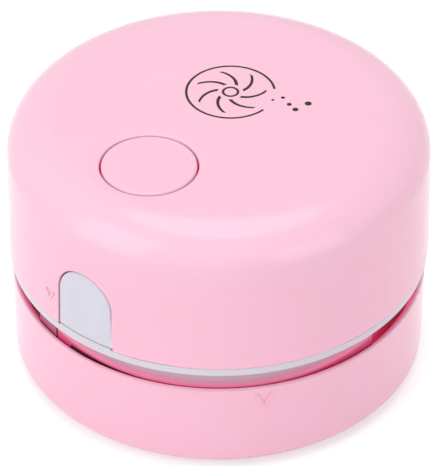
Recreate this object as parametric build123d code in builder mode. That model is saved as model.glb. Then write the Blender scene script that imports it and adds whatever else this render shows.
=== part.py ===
"""Desktop mini vacuum cleaner: a dust bin below, a battery driven fan unit above.

Frame: +Z up, origin on the desk under the middle of the bin. The release tab and the
power button face -Y. Angles around the body are counted from that front, towards +X.
"""

import math
import os

from build123d import *

os.makedirs("parts", exist_ok=True)

# ---------------------------------------------------------------------------
# Driving dimensions (mm)
# ---------------------------------------------------------------------------

# outer form, from the desk upwards
foot_h = 2.0
bin_h = 19.1
gap_h = 4.15
lip_h = 1.75
cover_h = 30.8
bay_spare = 1.2
skirt_overhang = 0.6
lip_overhang = 0.4
cover_draft = 0.65
shoulder_run = 9.25
shoulder_rise = 8.0
shoulder_end = 84.0

# walls and clearances
bin_wall = 1.6
bin_floor_t = 2.0
cover_wall = 1.8
seat_gap = 0.05
slide_gap = 0.3
edge_round = 0.4
fine_round = 0.25
bin_bottom_round = 1.2

# dust bin
collar_wall = 1.4
catch_depth = 0.5
catch_h = 3.4
catch_drop = 1.8
rim_wall = 0.7
rim_step_h = 1.1

# raised V marks
mark_relief = 0.25
mark_stroke = 0.5
bin_mark_angle = 50.2
bin_mark_w = 2.85
bin_mark_h = 3.25
bin_mark_drop = 1.5
cover_mark_angle = -12.4
cover_mark_w = 2.4
cover_mark_h = 2.0
cover_mark_rise = 5.2

# feet
foot_r = 4.0
foot_inset = 7.0
foot_count = 4
foot_start_angle = 45.0
foot_pocket = 0.4

# suction nozzle
slot_l = 40.0
slot_w = 7.0
duct_wall = 1.6
duct_rise = 9.0
plate_end = 9.4
plate_side = 5.9
plate_t = 1.2
plate_proud = 0.2
tuft_r = 0.9
tuft_pitch = 4.2
tuft_offset = 2.0
tuft_depth = 0.8
bristle_clear = 0.3

# small screws
screw_r = 0.9
screw_head_r = 1.9
screw_head_h = 1.0
screw_l = 4.6
screw_boss_wall = 1.3
pilot_spare = 0.6
driver_slot_w = 0.5
driver_slot_depth = 0.4

# filter
seal_t = 0.8
seal_w = 1.9
filter_flange_t = 1.2
filter_flange_inset = 0.1
filter_depth = 7.0
basket_wall = 1.3
basket_floor_t = 1.2
basket_ledge = 4.0
spoke_w = 2.0
spoke_count = 6
cloth_t = 0.8
key_l = 3.0
key_w = 2.0
key_h = 0.8

# waist ring
deck_t = 1.4
deck_step = 0.75
neck_gap = 0.25
neck_t = 0.9
neck_dip = 0.7
neck_start = -12.2
neck_span = 97.5
rib_start = -21.5
rib_span = 8.5
step_span = 5.0
step_h = 0.3
intake_r = 13.8
exhaust_inset = 0.4
exhaust_lip = 0.4
exhaust_count = 3
exhaust_rib = 5.0

# fan guard
guard_rim = 1.8
guard_t = 1.0
guard_bar = 1.1
guard_rings = 2
guard_hub_r = 2.6

# fan
plenum_h = 5.0
roof_t = 1.4
housing_wall = 1.2
housing_post_inset = 2.7
impeller_r = 20.0
impeller_gap = 0.8
backplate_t = 0.9
hub_r = 3.6
blade_count = 9
blade_t = 0.8
blade_inner_r = 8.0
blade_sweep = 38.0

# motor
motor_r = 12.2
motor_can_h = 10.8
motor_cap_h = 1.7
motor_cap_step = 0.3
motor_boss_r = 3.0
motor_boss_h = 1.0
shaft_r = 1.0
shaft_gap = 0.05
shaft_tip = 0.6
motor_cup_wall = 1.0
motor_cup_h = 5.0
terminal_x = 8.9
terminal_y = -5.5
terminal_w = 2.0
terminal_t = 0.5
terminal_h = 1.5

# two AA cells
cell_r = 7.25
cell_l = 50.5
cell_nub_r = 2.75
cell_nub_h = 1.3
cell_side_gap = 0.25
cell_spring_l = 3.0
cradle_base = 0.7
cradle_inset = 0.65
cradle_h = 5.0
end_wall_t = 1.2
end_wall_rise = 4.0
contact_t = 0.4
contact_w = 9.0
contact_rise = 3.5
contact_ear_w = 2.4
contact_ear_h = 1.4
contact_spring_r = 3.2

# power button
button_hole_r = 9.9
button_inset = 1.6
button_gap = 0.4
button_dish_run = 1.4
button_dish_drop = 0.15
button_t = 2.2
button_travel = 1.5
button_crown_round = 0.5
guide_wall = 1.2
guide_depth = 4.6
shelf_t = 1.0
shelf_w = 2.3
leg_w = 4.0
leg_t = 1.1
hook_reach = 0.9
hook_h = 1.4
hook_gap = 0.1
stem_r = 2.4
stem_l = 1.6

# circuit board and switch
board_t = 1.4
board_side_gap = 1.1
board_motor_gap = 1.4
board_post_r = 2.0
board_post_inset = 2.2
switch_w = 8.5
switch_h = 6.4
plunger_w = 3.4
plunger_out = 3.0
plunger_in = 3.0

# release tab
tab_w = 13.4
tab_flare = 0.3
tab_h = 16.2
tab_gap = 0.3
tab_recess = 0.15
tab_travel = 1.5
tab_dish_depth = 0.9
tab_dish_r = 30.0
tab_dish_rise = 7.8
tab_flange_t = 1.0
tab_flange_side = 1.2
tab_flange_over = 1.5
tongue_w = 6.0
tongue_t = 1.2
nose_reach = 1.3
nose_play = 1.0
tab_pin_r = 1.6
tab_pin_rise = 10.0
tab_pin_through = 0.9
bracket_w = 8.0
bracket_t = 2.0
bracket_over = 2.4
tab_spring_room = 2.2

# springs and wires
spring_wire_r = 0.25
button_spring_turns = 3
tab_spring_turns = 4
cell_spring_turns = 3
wire_r = 0.5
wire_bend = 1.9
wire_spare = 0.3
wire_landing = 0.8

# ---------------------------------------------------------------------------
# Levels and radii that follow from them
# ---------------------------------------------------------------------------

bin_z = foot_h
bin_floor_z = bin_z + bin_floor_t
rim_z = bin_z + bin_h
lip_z = rim_z + gap_h
skirt_z = lip_z + lip_h
top_z = skirt_z + cover_h
shoulder_z = top_z - shoulder_rise
cover_roof_z = top_z - cover_wall

deck_z = lip_z + deck_step
deck_top_z = deck_z + deck_t
seal_top_z = deck_z - filter_flange_t
collar_top_z = seal_top_z - seal_t
catch_top_z = rim_z - catch_drop
catch_z = catch_top_z - catch_h
roof_z = deck_top_z + plenum_h
roof_top_z = roof_z + roof_t

# the cells stand beside the motor, and the round housing is just large enough for their bay
cell_x = motor_r + seat_gap + motor_cup_wall + cell_side_gap + cell_r
cradle_w = 2 * (cell_r - cradle_inset)
cell_bay_half = (cell_l + cell_spring_l) / 2 + contact_t
housing_r = math.hypot(cell_x + cradle_w / 2, cell_bay_half + end_wall_t) + bay_spare
housing_inner_r = housing_r - housing_wall
housing_post_pitch_r = housing_inner_r - screw_r - screw_boss_wall - housing_post_inset

deck_r = housing_r + 2 * slide_gap
skirt_r = deck_r + 2 * slide_gap + cover_wall
cover_r = skirt_r - cover_draft
crown_r = cover_r - shoulder_run
# the shoulder is an ellipse that stops short of level, which leaves a faint crease
shoulder_a = shoulder_run / (1 - math.cos(math.radians(shoulder_end)))
shoulder_b = shoulder_rise / math.sin(math.radians(shoulder_end))
shoulder_inner_end = math.degrees(math.asin((shoulder_rise - cover_wall) / (shoulder_b - cover_wall)))
bin_r = skirt_r - skirt_overhang
lip_r = bin_r + lip_overhang
bin_inner_r = bin_r - bin_wall
rim_inner_r = bin_r - rim_wall
neck_r = rim_inner_r - neck_gap
neck_inner_r = neck_r - neck_t
neck_z = rim_z - neck_dip
foot_pitch_r = bin_r - foot_inset

tab_z = deck_top_z + slide_gap / 3
tab_top_z = skirt_z + tab_h
tab_foot_w = tab_w + tab_flare
tab_flange_w = tab_foot_w + 2 * tab_flange_side
tab_flange_y = -math.sqrt((cover_r - cover_wall) ** 2 - (tab_flange_w / 2) ** 2)
tab_back_y = tab_flange_y + tab_flange_t
nose_y = -(bin_inner_r - 1.5 * slide_gap)
nose_h = catch_h - nose_play
tongue_out_y = nose_y + nose_reach
tongue_in_y = tongue_out_y + tongue_t
tongue_z = catch_z + slide_gap
tongue_slot_y = tongue_in_y + tab_travel + slide_gap
tab_pin_z = tab_z + tab_pin_rise
bracket_y = tab_back_y + tab_travel + tab_spring_room

collar_r = -tongue_slot_y - seat_gap
collar_inner_r = collar_r - collar_wall
basket_r = collar_inner_r - 2 * slide_gap
basket_inner_r = basket_r - basket_wall
basket_z = collar_top_z - filter_depth
filter_flange_r = collar_r - filter_flange_inset
cloth_z = basket_z + basket_floor_t
cloth_r = basket_inner_r - seat_gap
key_x = filter_flange_r - key_l / 2 - seat_gap
exhaust_r = collar_r + exhaust_inset
exhaust_outer_r = housing_inner_r - exhaust_lip

plate_z = bin_z - plate_proud
plate_top_z = plate_z + plate_t
duct_top_z = bin_floor_z + duct_rise
duct_l = slot_l + 2 * duct_wall
duct_w = slot_w + 2 * duct_wall
plate_l = duct_l + 2 * plate_end
plate_w = duct_w + 2 * plate_side
tuft_y = duct_w / 2 + tuft_offset
tuft_count = int(slot_l // tuft_pitch)
nozzle_screw_x = (duct_l + plate_end) / 2
screw_boss_r = screw_r + screw_boss_wall

motor_z = roof_top_z
motor_cap_z = motor_z + motor_can_h
motor_top_z = motor_cap_z + motor_cap_h
blade_z = deck_top_z + impeller_gap
backplate_z = roof_z - impeller_gap / 2 - backplate_t
hub_z = blade_z - impeller_gap / 4
hub_top_z = roof_z - slide_gap

cell_z = roof_top_z + cradle_base + seat_gap + cell_r
end_wall_z = cell_z + end_wall_rise
contact_low_z = roof_top_z + cradle_h + seat_gap
contact_high_z = cell_z + contact_rise
contact_top_z = end_wall_z + contact_ear_h
bay_inner = cell_bay_half - contact_t

button_y = -(crown_r - button_inset - button_hole_r)
shelf_bore_r = button_hole_r - shelf_w
cap_z = top_z - button_t
guide_z = cover_roof_z - guide_depth
shelf_top_z = guide_z + shelf_t
hook_top_z = guide_z - hook_gap
hook_z = hook_top_z - hook_h
plunger_top_z = cap_z - stem_l
switch_top_z = plunger_top_z - plunger_out
board_top_z = switch_top_z - switch_h
board_z = board_top_z - board_t
board_far_y = -(motor_r + board_motor_gap)
board_near_y = button_y - button_hole_r
board_l = 2 * (cell_x - cell_r - board_side_gap)
board_w = board_far_y - board_near_y
board_y = (board_far_y + board_near_y) / 2
board_post_x = board_l / 2 - board_post_inset
board_post_y = board_w / 2 - board_post_inset


# ---------------------------------------------------------------------------
# Shapes that several pieces share
# ---------------------------------------------------------------------------


def sector_face(level, outer_r, inner_r, start, span):
    """Flat ring sector at a height; angles from the front, towards +X."""
    with BuildSketch(Plane.XY.offset(level)) as sector:
        with BuildLine():
            outer = CenterArc((0, 0), outer_r, start - 90, span)
            inner = CenterArc((0, 0), inner_r, start - 90, span)
            Line(outer @ 0, inner @ 0)
            Line(outer @ 1, inner @ 1)
        make_face()
    return sector.sketch


def arch_face(plane, foot_w, arch_w, foot_level, top_level):
    """Round-topped arch that widens a little towards its foot."""
    spring_level = top_level - arch_w / 2
    with BuildSketch(plane) as arch:
        with BuildLine():
            Line((-foot_w / 2, foot_level), (-arch_w / 2, spring_level))
            ThreePointArc((-arch_w / 2, spring_level), (0, top_level), (arch_w / 2, spring_level))
            Line((arch_w / 2, spring_level), (foot_w / 2, foot_level))
            Line((foot_w / 2, foot_level), (-foot_w / 2, foot_level))
        make_face()
    return arch.sketch


def v_mark(radius, angle, tip_level, width, height):
    """Raised V, point down, standing proud of a wall of the given radius."""
    turn = math.radians(angle)
    outward = Vector(math.sin(turn), -math.cos(turn), 0)
    along = Vector(math.cos(turn), math.sin(turn), 0)
    root = radius - rim_wall / 2
    foot = outward * root + Vector(0, 0, tip_level)
    with BuildPart() as mark:
        with BuildSketch(Plane(origin=foot, x_dir=along, z_dir=outward)):
            with BuildLine():
                Polyline((-width / 2, height), (0, 0), (width / 2, height))
            trace(line_width=mark_stroke)
        extrude(amount=radius + mark_relief - root)
    return mark.part


def coil_spring(plane, mean_r, length, turns):
    """Compression spring standing on a plane."""
    rise = length - 2 * spring_wire_r
    with BuildPart() as spring:
        with BuildLine(plane.offset(spring_wire_r)) as path:
            Helix(pitch=rise / turns, height=rise, radius=mean_r, direction=plane.z_dir)
        with BuildSketch(Plane(origin=path.line @ 0, z_dir=path.line % 0)):
            Circle(spring_wire_r)
        sweep(path=path.line, is_frenet=True)
    return spring.part


def screw(x, y, head_level, length, upwards):
    """Slotted screw under its head level, or turned over when it is driven upwards."""
    way = 1 if upwards else -1
    with BuildPart() as one:
        with BuildSketch(Plane.XY.offset(head_level)):
            with Locations((x, y)):
                Circle(screw_head_r)
        extrude(amount=-way * screw_head_h)
        with BuildSketch(Plane.XY.offset(head_level)):
            with Locations((x, y)):
                Circle(screw_r)
        extrude(amount=way * length)
        with BuildSketch(Plane.XY.offset(head_level - way * screw_head_h)):
            with Locations((x, y)):
                Rectangle(3 * screw_head_r, driver_slot_w)
        extrude(amount=way * driver_slot_depth, mode=Mode.SUBTRACT)
    return one.part


def wire(points, bend):
    """Insulated wire through points, with its corners rounded."""
    with BuildPart() as run:
        with BuildLine() as path:
            FilletPolyline(points, radius=bend)
        with BuildSketch(Plane(origin=path.line @ 0, z_dir=path.line % 0)):
            Circle(wire_r)
        sweep(path=path.line)
    return run.part


def is_circle(edge, radius):
    """Whether an edge is a circle of that radius."""
    return edge.geom_type == GeomType.CIRCLE and math.isclose(edge.radius, radius, abs_tol=seat_gap / 5)


def lies_outside(edge, radius):
    """Whether an edge keeps farther than that from the middle axis."""
    return all(math.hypot((edge @ place).X, (edge @ place).Y) > radius for place in (0, 0.25, 0.5, 0.75, 1))


def finish(piece, name):
    """Name a finished piece and write it."""
    piece.label = name
    export_step(piece, f"parts/{name}.step")


# ---------------------------------------------------------------------------
# Dust bin and nozzle
# ---------------------------------------------------------------------------

with BuildPart() as dust_bin:
    with BuildSketch(Plane.XZ) as bin_profile:
        with BuildLine():
            Polyline(
                (0, bin_z),
                (bin_r, bin_z),
                (bin_r, rim_z),
                (rim_inner_r, rim_z),
                (rim_inner_r, rim_z - rim_step_h),
                (bin_inner_r, rim_z - rim_step_h),
                (bin_inner_r, catch_top_z),
                (bin_inner_r + catch_depth, catch_top_z),
                (bin_inner_r + catch_depth, catch_z),
                (bin_inner_r, catch_z),
                (bin_inner_r, bin_floor_z),
                (0, bin_floor_z),
                close=True,
            )
        make_face()
        fillet(bin_profile.vertices().group_by(Axis.X)[-1].sort_by(Axis.Y)[-1], edge_round)
        fillet(bin_profile.vertices().group_by(Axis.X)[-1].sort_by(Axis.Y)[0], bin_bottom_round)
    revolve(axis=Axis.Z)
    # inner collar, which carries the filter and walls the dust cup
    with BuildSketch(Plane.XY.offset(bin_floor_z)):
        Circle(collar_r)
        Circle(collar_inner_r, mode=Mode.SUBTRACT)
    extrude(amount=collar_top_z - bin_floor_z)
    # bosses for the nozzle screws
    with BuildSketch(Plane.XY.offset(bin_floor_z)):
        with Locations((-nozzle_screw_x, 0), (nozzle_screw_x, 0)):
            Circle(screw_boss_r)
    extrude(amount=screw_l + pilot_spare)
    with BuildSketch(Plane.XY.offset(bin_z)):
        with Locations((-nozzle_screw_x, 0), (nozzle_screw_x, 0)):
            Circle(screw_r + seat_gap)
    extrude(amount=screw_l + pilot_spare, mode=Mode.SUBTRACT)
    # recess and opening for the nozzle plate
    with BuildSketch(Plane.XY.offset(bin_z)):
        SlotOverall(plate_l + 2 * seat_gap, plate_w + 2 * seat_gap)
    extrude(amount=plate_top_z - bin_z, mode=Mode.SUBTRACT)
    with BuildSketch(Plane.XY.offset(bin_z)):
        SlotOverall(duct_l + 2 * seat_gap, duct_w + 2 * seat_gap)
    extrude(amount=bin_floor_t, mode=Mode.SUBTRACT)
    # foot pockets
    with BuildSketch(Plane.XY.offset(bin_z)):
        with PolarLocations(foot_pitch_r, foot_count, start_angle=foot_start_angle):
            Circle(foot_r + seat_gap)
    extrude(amount=foot_pocket, mode=Mode.SUBTRACT)
    add(v_mark(bin_r, bin_mark_angle, rim_z - bin_mark_drop - bin_mark_h, bin_mark_w, bin_mark_h))
finish(dust_bin.part, "dust_bin")

with BuildPart() as nozzle_plate:
    with BuildSketch(Plane.XY.offset(plate_z)):
        SlotOverall(plate_l, plate_w)
    extrude(amount=plate_t)
    with BuildSketch(Plane.XY.offset(plate_z)):
        SlotOverall(duct_l, duct_w)
    extrude(amount=duct_top_z - plate_z)
    with BuildSketch(Plane.XY.offset(plate_z)):
        SlotOverall(slot_l, slot_w)
    extrude(amount=duct_top_z - plate_z, mode=Mode.SUBTRACT)
    # blind holes for the tufts
    with BuildSketch(Plane.XY.offset(plate_z)):
        for side in (-1, 1):
            with Locations((0, side * tuft_y)):
                with GridLocations(tuft_pitch, 1, tuft_count, 1):
                    Circle(tuft_r + seat_gap)
    extrude(amount=tuft_depth, mode=Mode.SUBTRACT)
    # counterbored screw holes
    with BuildSketch(Plane.XY.offset(plate_z)):
        with Locations((-nozzle_screw_x, 0), (nozzle_screw_x, 0)):
            Circle(screw_head_r + slide_gap)
    extrude(amount=plate_t / 2, mode=Mode.SUBTRACT)
    with BuildSketch(Plane.XY.offset(plate_z)):
        with Locations((-nozzle_screw_x, 0), (nozzle_screw_x, 0)):
            Circle(screw_r + slide_gap)
    extrude(amount=plate_t, mode=Mode.SUBTRACT)
finish(nozzle_plate.part, "nozzle_plate")

with BuildPart() as bristle_tufts:
    with BuildSketch(Plane.XY.offset(bristle_clear)):
        for side in (-1, 1):
            with Locations((0, side * tuft_y)):
                with GridLocations(tuft_pitch, 1, tuft_count, 1):
                    Circle(tuft_r)
    extrude(amount=plate_z + tuft_depth - bristle_clear)
finish(bristle_tufts.part, "bristle_tufts")

with BuildPart() as nozzle_screws:
    for side in (-1, 1):
        add(screw(side * nozzle_screw_x, 0, plate_z + plate_t / 2, screw_l, upwards=True))
finish(nozzle_screws.part, "nozzle_screws")

with BuildPart() as rubber_feet:
    with BuildSketch(Plane.XY):
        with PolarLocations(foot_pitch_r, foot_count, start_angle=foot_start_angle):
            Circle(foot_r)
    extrude(amount=foot_h + foot_pocket)
    fillet(rubber_feet.edges().group_by(Axis.Z)[0], edge_round)
finish(rubber_feet.part, "rubber_feet")

# ---------------------------------------------------------------------------
# Filter, which turns with the fan unit and stays behind when that lifts off
# ---------------------------------------------------------------------------

with BuildPart() as filter_seal:
    with BuildSketch(Plane.XY.offset(collar_top_z)):
        Circle(filter_flange_r)
        Circle(filter_flange_r - seal_w, mode=Mode.SUBTRACT)
    extrude(amount=seal_t)
finish(filter_seal.part, "filter_seal")

with BuildPart() as filter_frame:
    # flange
    with BuildSketch(Plane.XY.offset(seal_top_z)):
        Circle(filter_flange_r)
        Circle(basket_inner_r, mode=Mode.SUBTRACT)
    extrude(amount=filter_flange_t)
    # basket wall
    with BuildSketch(Plane.XY.offset(basket_z)):
        Circle(basket_r)
        Circle(basket_inner_r, mode=Mode.SUBTRACT)
    extrude(amount=seal_top_z - basket_z)
    # ledge and spokes under the cloth
    with BuildSketch(Plane.XY.offset(basket_z)):
        Circle(basket_r)
        Circle(basket_r - basket_ledge, mode=Mode.SUBTRACT)
        with PolarLocations(0, spoke_count // 2, angular_range=180, endpoint=False):
            Rectangle(2 * basket_inner_r, spoke_w)
    extrude(amount=basket_floor_t)
    # keys that the fan unit drives it by
    with BuildSketch(Plane.XY.offset(deck_z)):
        with Locations((-key_x, 0), (key_x, 0)):
            Rectangle(key_l, key_w)
    extrude(amount=key_h)
finish(filter_frame.part, "filter_frame")

with BuildPart() as filter_cloth:
    with BuildSketch(Plane.XY.offset(cloth_z)):
        Circle(cloth_r)
    extrude(amount=deck_z - slide_gap - cloth_z)
    with BuildSketch(Plane.XY.offset(cloth_z + cloth_t)):
        Circle(cloth_r - cloth_t)
    extrude(amount=deck_z - cloth_z, mode=Mode.SUBTRACT)
finish(filter_cloth.part, "filter_cloth")

# ---------------------------------------------------------------------------
# Waist ring, fan guard and fan housing
# ---------------------------------------------------------------------------

window_start = neck_start + neck_span + step_span
window_span = 180 + rib_start - window_start
exhaust_pitch = (window_span + exhaust_rib) / exhaust_count
sill_half_angle = math.degrees(math.asin((tab_foot_w / 2 - tab_gap) / lip_r))

with BuildPart() as waist_ring:
    # deck and lip
    with BuildSketch(Plane.XZ) as ring_profile:
        with BuildLine():
            Polyline(
                (intake_r, deck_z),
                (neck_inner_r, deck_z),
                (neck_inner_r, lip_z),
                (lip_r, lip_z),
                (lip_r, skirt_z),
                (deck_r, skirt_z),
                (deck_r, deck_top_z),
                (intake_r, deck_top_z),
                close=True,
            )
        make_face()
        fillet(ring_profile.vertices().group_by(Axis.X)[-1].sort_by(Axis.Y)[0], fine_round)
    revolve(axis=Axis.Z)
    # two neck walls that dip into the bin, each with a rib before it and a step under the lip
    for turn in (0, 180):
        extrude(
            sector_face(neck_z, neck_r, neck_inner_r, turn + neck_start, neck_span),
            amount=deck_z - neck_z,
        )
        extrude(
            sector_face(neck_z, neck_r, neck_inner_r, turn + rib_start, rib_span),
            amount=deck_z - neck_z,
        )
        extrude(
            sector_face(
                lip_z - step_h, lip_r - edge_round, neck_inner_r, turn + neck_start, neck_span + step_span
            ),
            amount=2 * step_h,
        )
        for index in range(exhaust_count):
            extrude(
                sector_face(
                    deck_z,
                    exhaust_outer_r,
                    exhaust_r,
                    turn + window_start + index * exhaust_pitch,
                    exhaust_pitch - exhaust_rib,
                ),
                amount=deck_t,
                mode=Mode.SUBTRACT,
            )
    # sill under the release tab
    extrude(
        sector_face(skirt_z, lip_r, deck_r - edge_round, -sill_half_angle, 2 * sill_half_angle),
        amount=deck_top_z - skirt_z,
    )
    # way through for the tab's tongue
    with BuildSketch(Plane.XY.offset(deck_z)):
        with Locations((0, (tongue_slot_y + tongue_out_y - slide_gap) / 2)):
            Rectangle(tongue_w + 2 * slide_gap, tongue_slot_y - tongue_out_y + slide_gap)
    extrude(amount=deck_t, mode=Mode.SUBTRACT)
    # seat of the fan guard
    with BuildSketch(Plane.XY.offset(deck_z)):
        Circle(intake_r + guard_rim + seat_gap)
    extrude(amount=guard_t, mode=Mode.SUBTRACT)
    # pockets for the filter's keys
    with BuildSketch(Plane.XY.offset(deck_z)):
        with Locations((-key_x, 0), (key_x, 0)):
            Rectangle(key_l + slide_gap, key_w + slide_gap)
    extrude(amount=key_h + slide_gap / 2, mode=Mode.SUBTRACT)
    # posts that carry the fan housing, with pilot holes
    with BuildSketch(Plane.XY.offset(deck_top_z)):
        with PolarLocations(housing_post_pitch_r, 3, angular_range=180, endpoint=True):
            Circle(screw_boss_r)
            Circle(screw_r + seat_gap, mode=Mode.SUBTRACT)
    extrude(amount=plenum_h)
finish(waist_ring.part, "waist_ring")

with BuildPart() as fan_guard:
    with BuildSketch(Plane.XY.offset(deck_z)):
        Circle(intake_r + guard_rim)
        Circle(intake_r - guard_bar, mode=Mode.SUBTRACT)
        for index in range(1, guard_rings + 1):
            ring_r = guard_hub_r + index * (intake_r - guard_hub_r) / (guard_rings + 1)
            with BuildSketch(mode=Mode.PRIVATE) as bar_ring:
                Circle(ring_r + guard_bar / 2)
                Circle(ring_r - guard_bar / 2, mode=Mode.SUBTRACT)
            add(bar_ring.sketch)
        Circle(guard_hub_r)
        with PolarLocations(0, 3, angular_range=180, endpoint=False):
            Rectangle(2 * intake_r, guard_bar)
    extrude(amount=guard_t)
finish(fan_guard.part, "fan_guard")

with BuildPart() as fan_housing:
    # plenum wall and roof
    with BuildSketch(Plane.XY.offset(deck_top_z)):
        Circle(housing_r)
        Circle(housing_inner_r, mode=Mode.SUBTRACT)
    extrude(amount=plenum_h)
    with BuildSketch(Plane.XY.offset(roof_z)):
        Circle(housing_r)
    extrude(amount=roof_t)
    # pocket behind the release tab, closed by a flat wall
    with BuildSketch(Plane.XY.offset(deck_top_z)):
        with Locations((0, tongue_slot_y - housing_r / 2)):
            Rectangle(tab_flange_w + 4 * slide_gap, housing_r)
    extrude(amount=plenum_h + roof_t, mode=Mode.SUBTRACT)
    with BuildSketch(Plane.XY.offset(deck_top_z)):
        with Locations((0, tongue_slot_y + housing_wall / 2)):
            Rectangle(tab_flange_w + 4 * slide_gap + 2 * housing_wall, housing_wall)
    extrude(amount=plenum_h)
    # cup around the motor
    with BuildSketch(Plane.XY.offset(roof_top_z)):
        Circle(motor_r + seat_gap + motor_cup_wall)
        Circle(motor_r + seat_gap, mode=Mode.SUBTRACT)
    extrude(amount=motor_cup_h)
    # cell cradles and their end walls
    with BuildSketch(Plane.XY.offset(roof_top_z)):
        with Locations((-cell_x, 0), (cell_x, 0)):
            Rectangle(cradle_w, 2 * cell_bay_half)
    extrude(amount=cradle_h)
    with BuildSketch(Plane.XZ.offset(-cell_bay_half)):
        with Locations((-cell_x, cell_z), (cell_x, cell_z)):
            Circle(cell_r + seat_gap)
    extrude(amount=2 * cell_bay_half, mode=Mode.SUBTRACT)
    with BuildSketch(Plane.XY.offset(roof_top_z)):
        for end in (-1, 1):
            with Locations(*[(side * cell_x, end * (cell_bay_half + end_wall_t / 2)) for side in (-1, 1)]):
                Rectangle(cradle_w, end_wall_t)
    extrude(amount=end_wall_z - roof_top_z)
    # posts under the circuit board
    with BuildSketch(Plane.XY.offset(roof_top_z)):
        with Locations((0, board_y)):
            with GridLocations(2 * board_post_x, 2 * board_post_y, 2, 2):
                Circle(board_post_r)
    extrude(amount=board_z - roof_top_z)
    with BuildSketch(Plane.XY.offset(board_z)):
        with Locations((-board_post_x, board_y - board_post_y), (board_post_x, board_y - board_post_y)):
            Circle(screw_r + seat_gap)
    extrude(amount=-screw_l, mode=Mode.SUBTRACT)
    # bracket that guides the tab's pin
    with BuildSketch(Plane.XY.offset(roof_top_z)):
        with Locations((0, bracket_y + bracket_t / 2)):
            Rectangle(bracket_w, bracket_t)
    extrude(amount=tab_pin_z + tab_pin_r + bracket_over - roof_top_z)
    with BuildSketch(Plane.XZ.offset(-bracket_y)):
        with Locations((0, tab_pin_z)):
            Circle(tab_pin_r + seat_gap)
    extrude(amount=-bracket_t, mode=Mode.SUBTRACT)
    # hole for the motor's boss, and screw holes over the posts
    with BuildSketch(Plane.XY.offset(roof_z)):
        Circle(motor_boss_r + seat_gap)
        with PolarLocations(housing_post_pitch_r, 3, angular_range=180, endpoint=True):
            Circle(screw_r + slide_gap)
    extrude(amount=roof_t, mode=Mode.SUBTRACT)
finish(fan_housing.part, "fan_housing")

with BuildPart() as housing_screws:
    for angle in (0, 90, 180):
        post_x = housing_post_pitch_r * math.cos(math.radians(angle))
        post_y = housing_post_pitch_r * math.sin(math.radians(angle))
        add(screw(post_x, post_y, roof_top_z, screw_l, upwards=False))
finish(housing_screws.part, "housing_screws")

# ---------------------------------------------------------------------------
# Fan and motor
# ---------------------------------------------------------------------------

with BuildPart() as impeller:
    with BuildSketch(Plane.XY.offset(backplate_z)):
        Circle(impeller_r)
    extrude(amount=backplate_t)
    with BuildSketch(Plane.XY.offset(hub_z)):
        Circle(hub_r)
    extrude(amount=hub_top_z - hub_z)
    # backward curved blades
    blade_outer_r = impeller_r - blade_t
    with BuildSketch(Plane.XY.offset(blade_z)):
        with BuildLine(mode=Mode.PRIVATE) as blade_line:
            tip = PolarLine((0, 0), blade_outer_r, blade_sweep, mode=Mode.PRIVATE) @ 1
            ThreePointArc(
                (blade_inner_r, 0),
                (
                    (blade_inner_r + tip.X) / 2 + tip.Y / 6,
                    tip.Y / 3,
                ),
                tip,
            )
        with PolarLocations(0, blade_count):
            with BuildSketch(mode=Mode.PRIVATE) as one_blade:
                trace(blade_line.line, line_width=blade_t)
            add(one_blade.sketch)
    extrude(amount=backplate_z - blade_z)
    with BuildSketch(Plane.XY.offset(hub_z)):
        Circle(shaft_r + seat_gap / 2)
    extrude(amount=hub_top_z - hub_z, mode=Mode.SUBTRACT)
finish(impeller.part, "impeller")

with BuildPart() as motor_shaft:
    with BuildSketch(Plane.XY.offset(hub_z)):
        Circle(shaft_r)
    extrude(amount=motor_top_z + shaft_tip - hub_z)
finish(motor_shaft.part, "motor_shaft")

with BuildPart() as motor_can:
    with BuildSketch(Plane.XY.offset(motor_z)):
        Circle(motor_r)
    extrude(amount=motor_can_h)
    fillet(motor_can.edges().group_by(Axis.Z)[0], edge_round)
    with BuildSketch(Plane.XY.offset(motor_z)):
        Circle(motor_boss_r)
    extrude(amount=-motor_boss_h)
    with BuildSketch(Plane.XY.offset(motor_z - motor_boss_h)):
        Circle(shaft_r + shaft_gap)
    extrude(amount=motor_can_h + motor_boss_h, mode=Mode.SUBTRACT)
finish(motor_can.part, "motor_can")

with BuildPart() as motor_end_cap:
    with BuildSketch(Plane.XY.offset(motor_cap_z)):
        Circle(motor_r - motor_cap_step)
        Circle(shaft_r + shaft_gap, mode=Mode.SUBTRACT)
    extrude(amount=motor_cap_h)
    chamfer(
        motor_end_cap.edges().group_by(Axis.Z)[-1].sort_by(SortBy.LENGTH)[-1], edge_round
    )
finish(motor_end_cap.part, "motor_end_cap")

with BuildPart() as motor_terminals:
    with BuildSketch(Plane.XY.offset(motor_top_z)):
        with Locations((-terminal_x, terminal_y), (terminal_x, terminal_y)):
            Rectangle(terminal_w, terminal_t)
    extrude(amount=terminal_h)
finish(motor_terminals.part, "motor_terminals")

# ---------------------------------------------------------------------------
# Cells and their contacts
# ---------------------------------------------------------------------------

for name, side, nub_end in (("battery_cell_right", 1, -1), ("battery_cell_left", -1, 1)):
    with BuildPart() as battery_cell:
        with BuildSketch(Plane.XZ.offset(-nub_end * (bay_inner - cell_nub_h))):
            with Locations((side * cell_x, cell_z)):
                Circle(cell_r)
        extrude(amount=nub_end * (cell_l - cell_nub_h))
        fillet(battery_cell.edges().filter_by(GeomType.CIRCLE), edge_round)
        with BuildSketch(Plane.XZ.offset(-nub_end * bay_inner)):
            with Locations((side * cell_x, cell_z)):
                Circle(cell_nub_r)
        extrude(amount=nub_end * cell_nub_h)
    finish(battery_cell.part, name)

with BuildPart() as contact_bridge:
    with BuildSketch(Plane.XZ.offset(-cell_bay_half)):
        with Locations((0, (contact_low_z + contact_high_z) / 2)):
            Rectangle(2 * cell_x + contact_w, contact_high_z - contact_low_z)
    extrude(amount=contact_t)
finish(contact_bridge.part, "contact_bridge")

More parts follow.
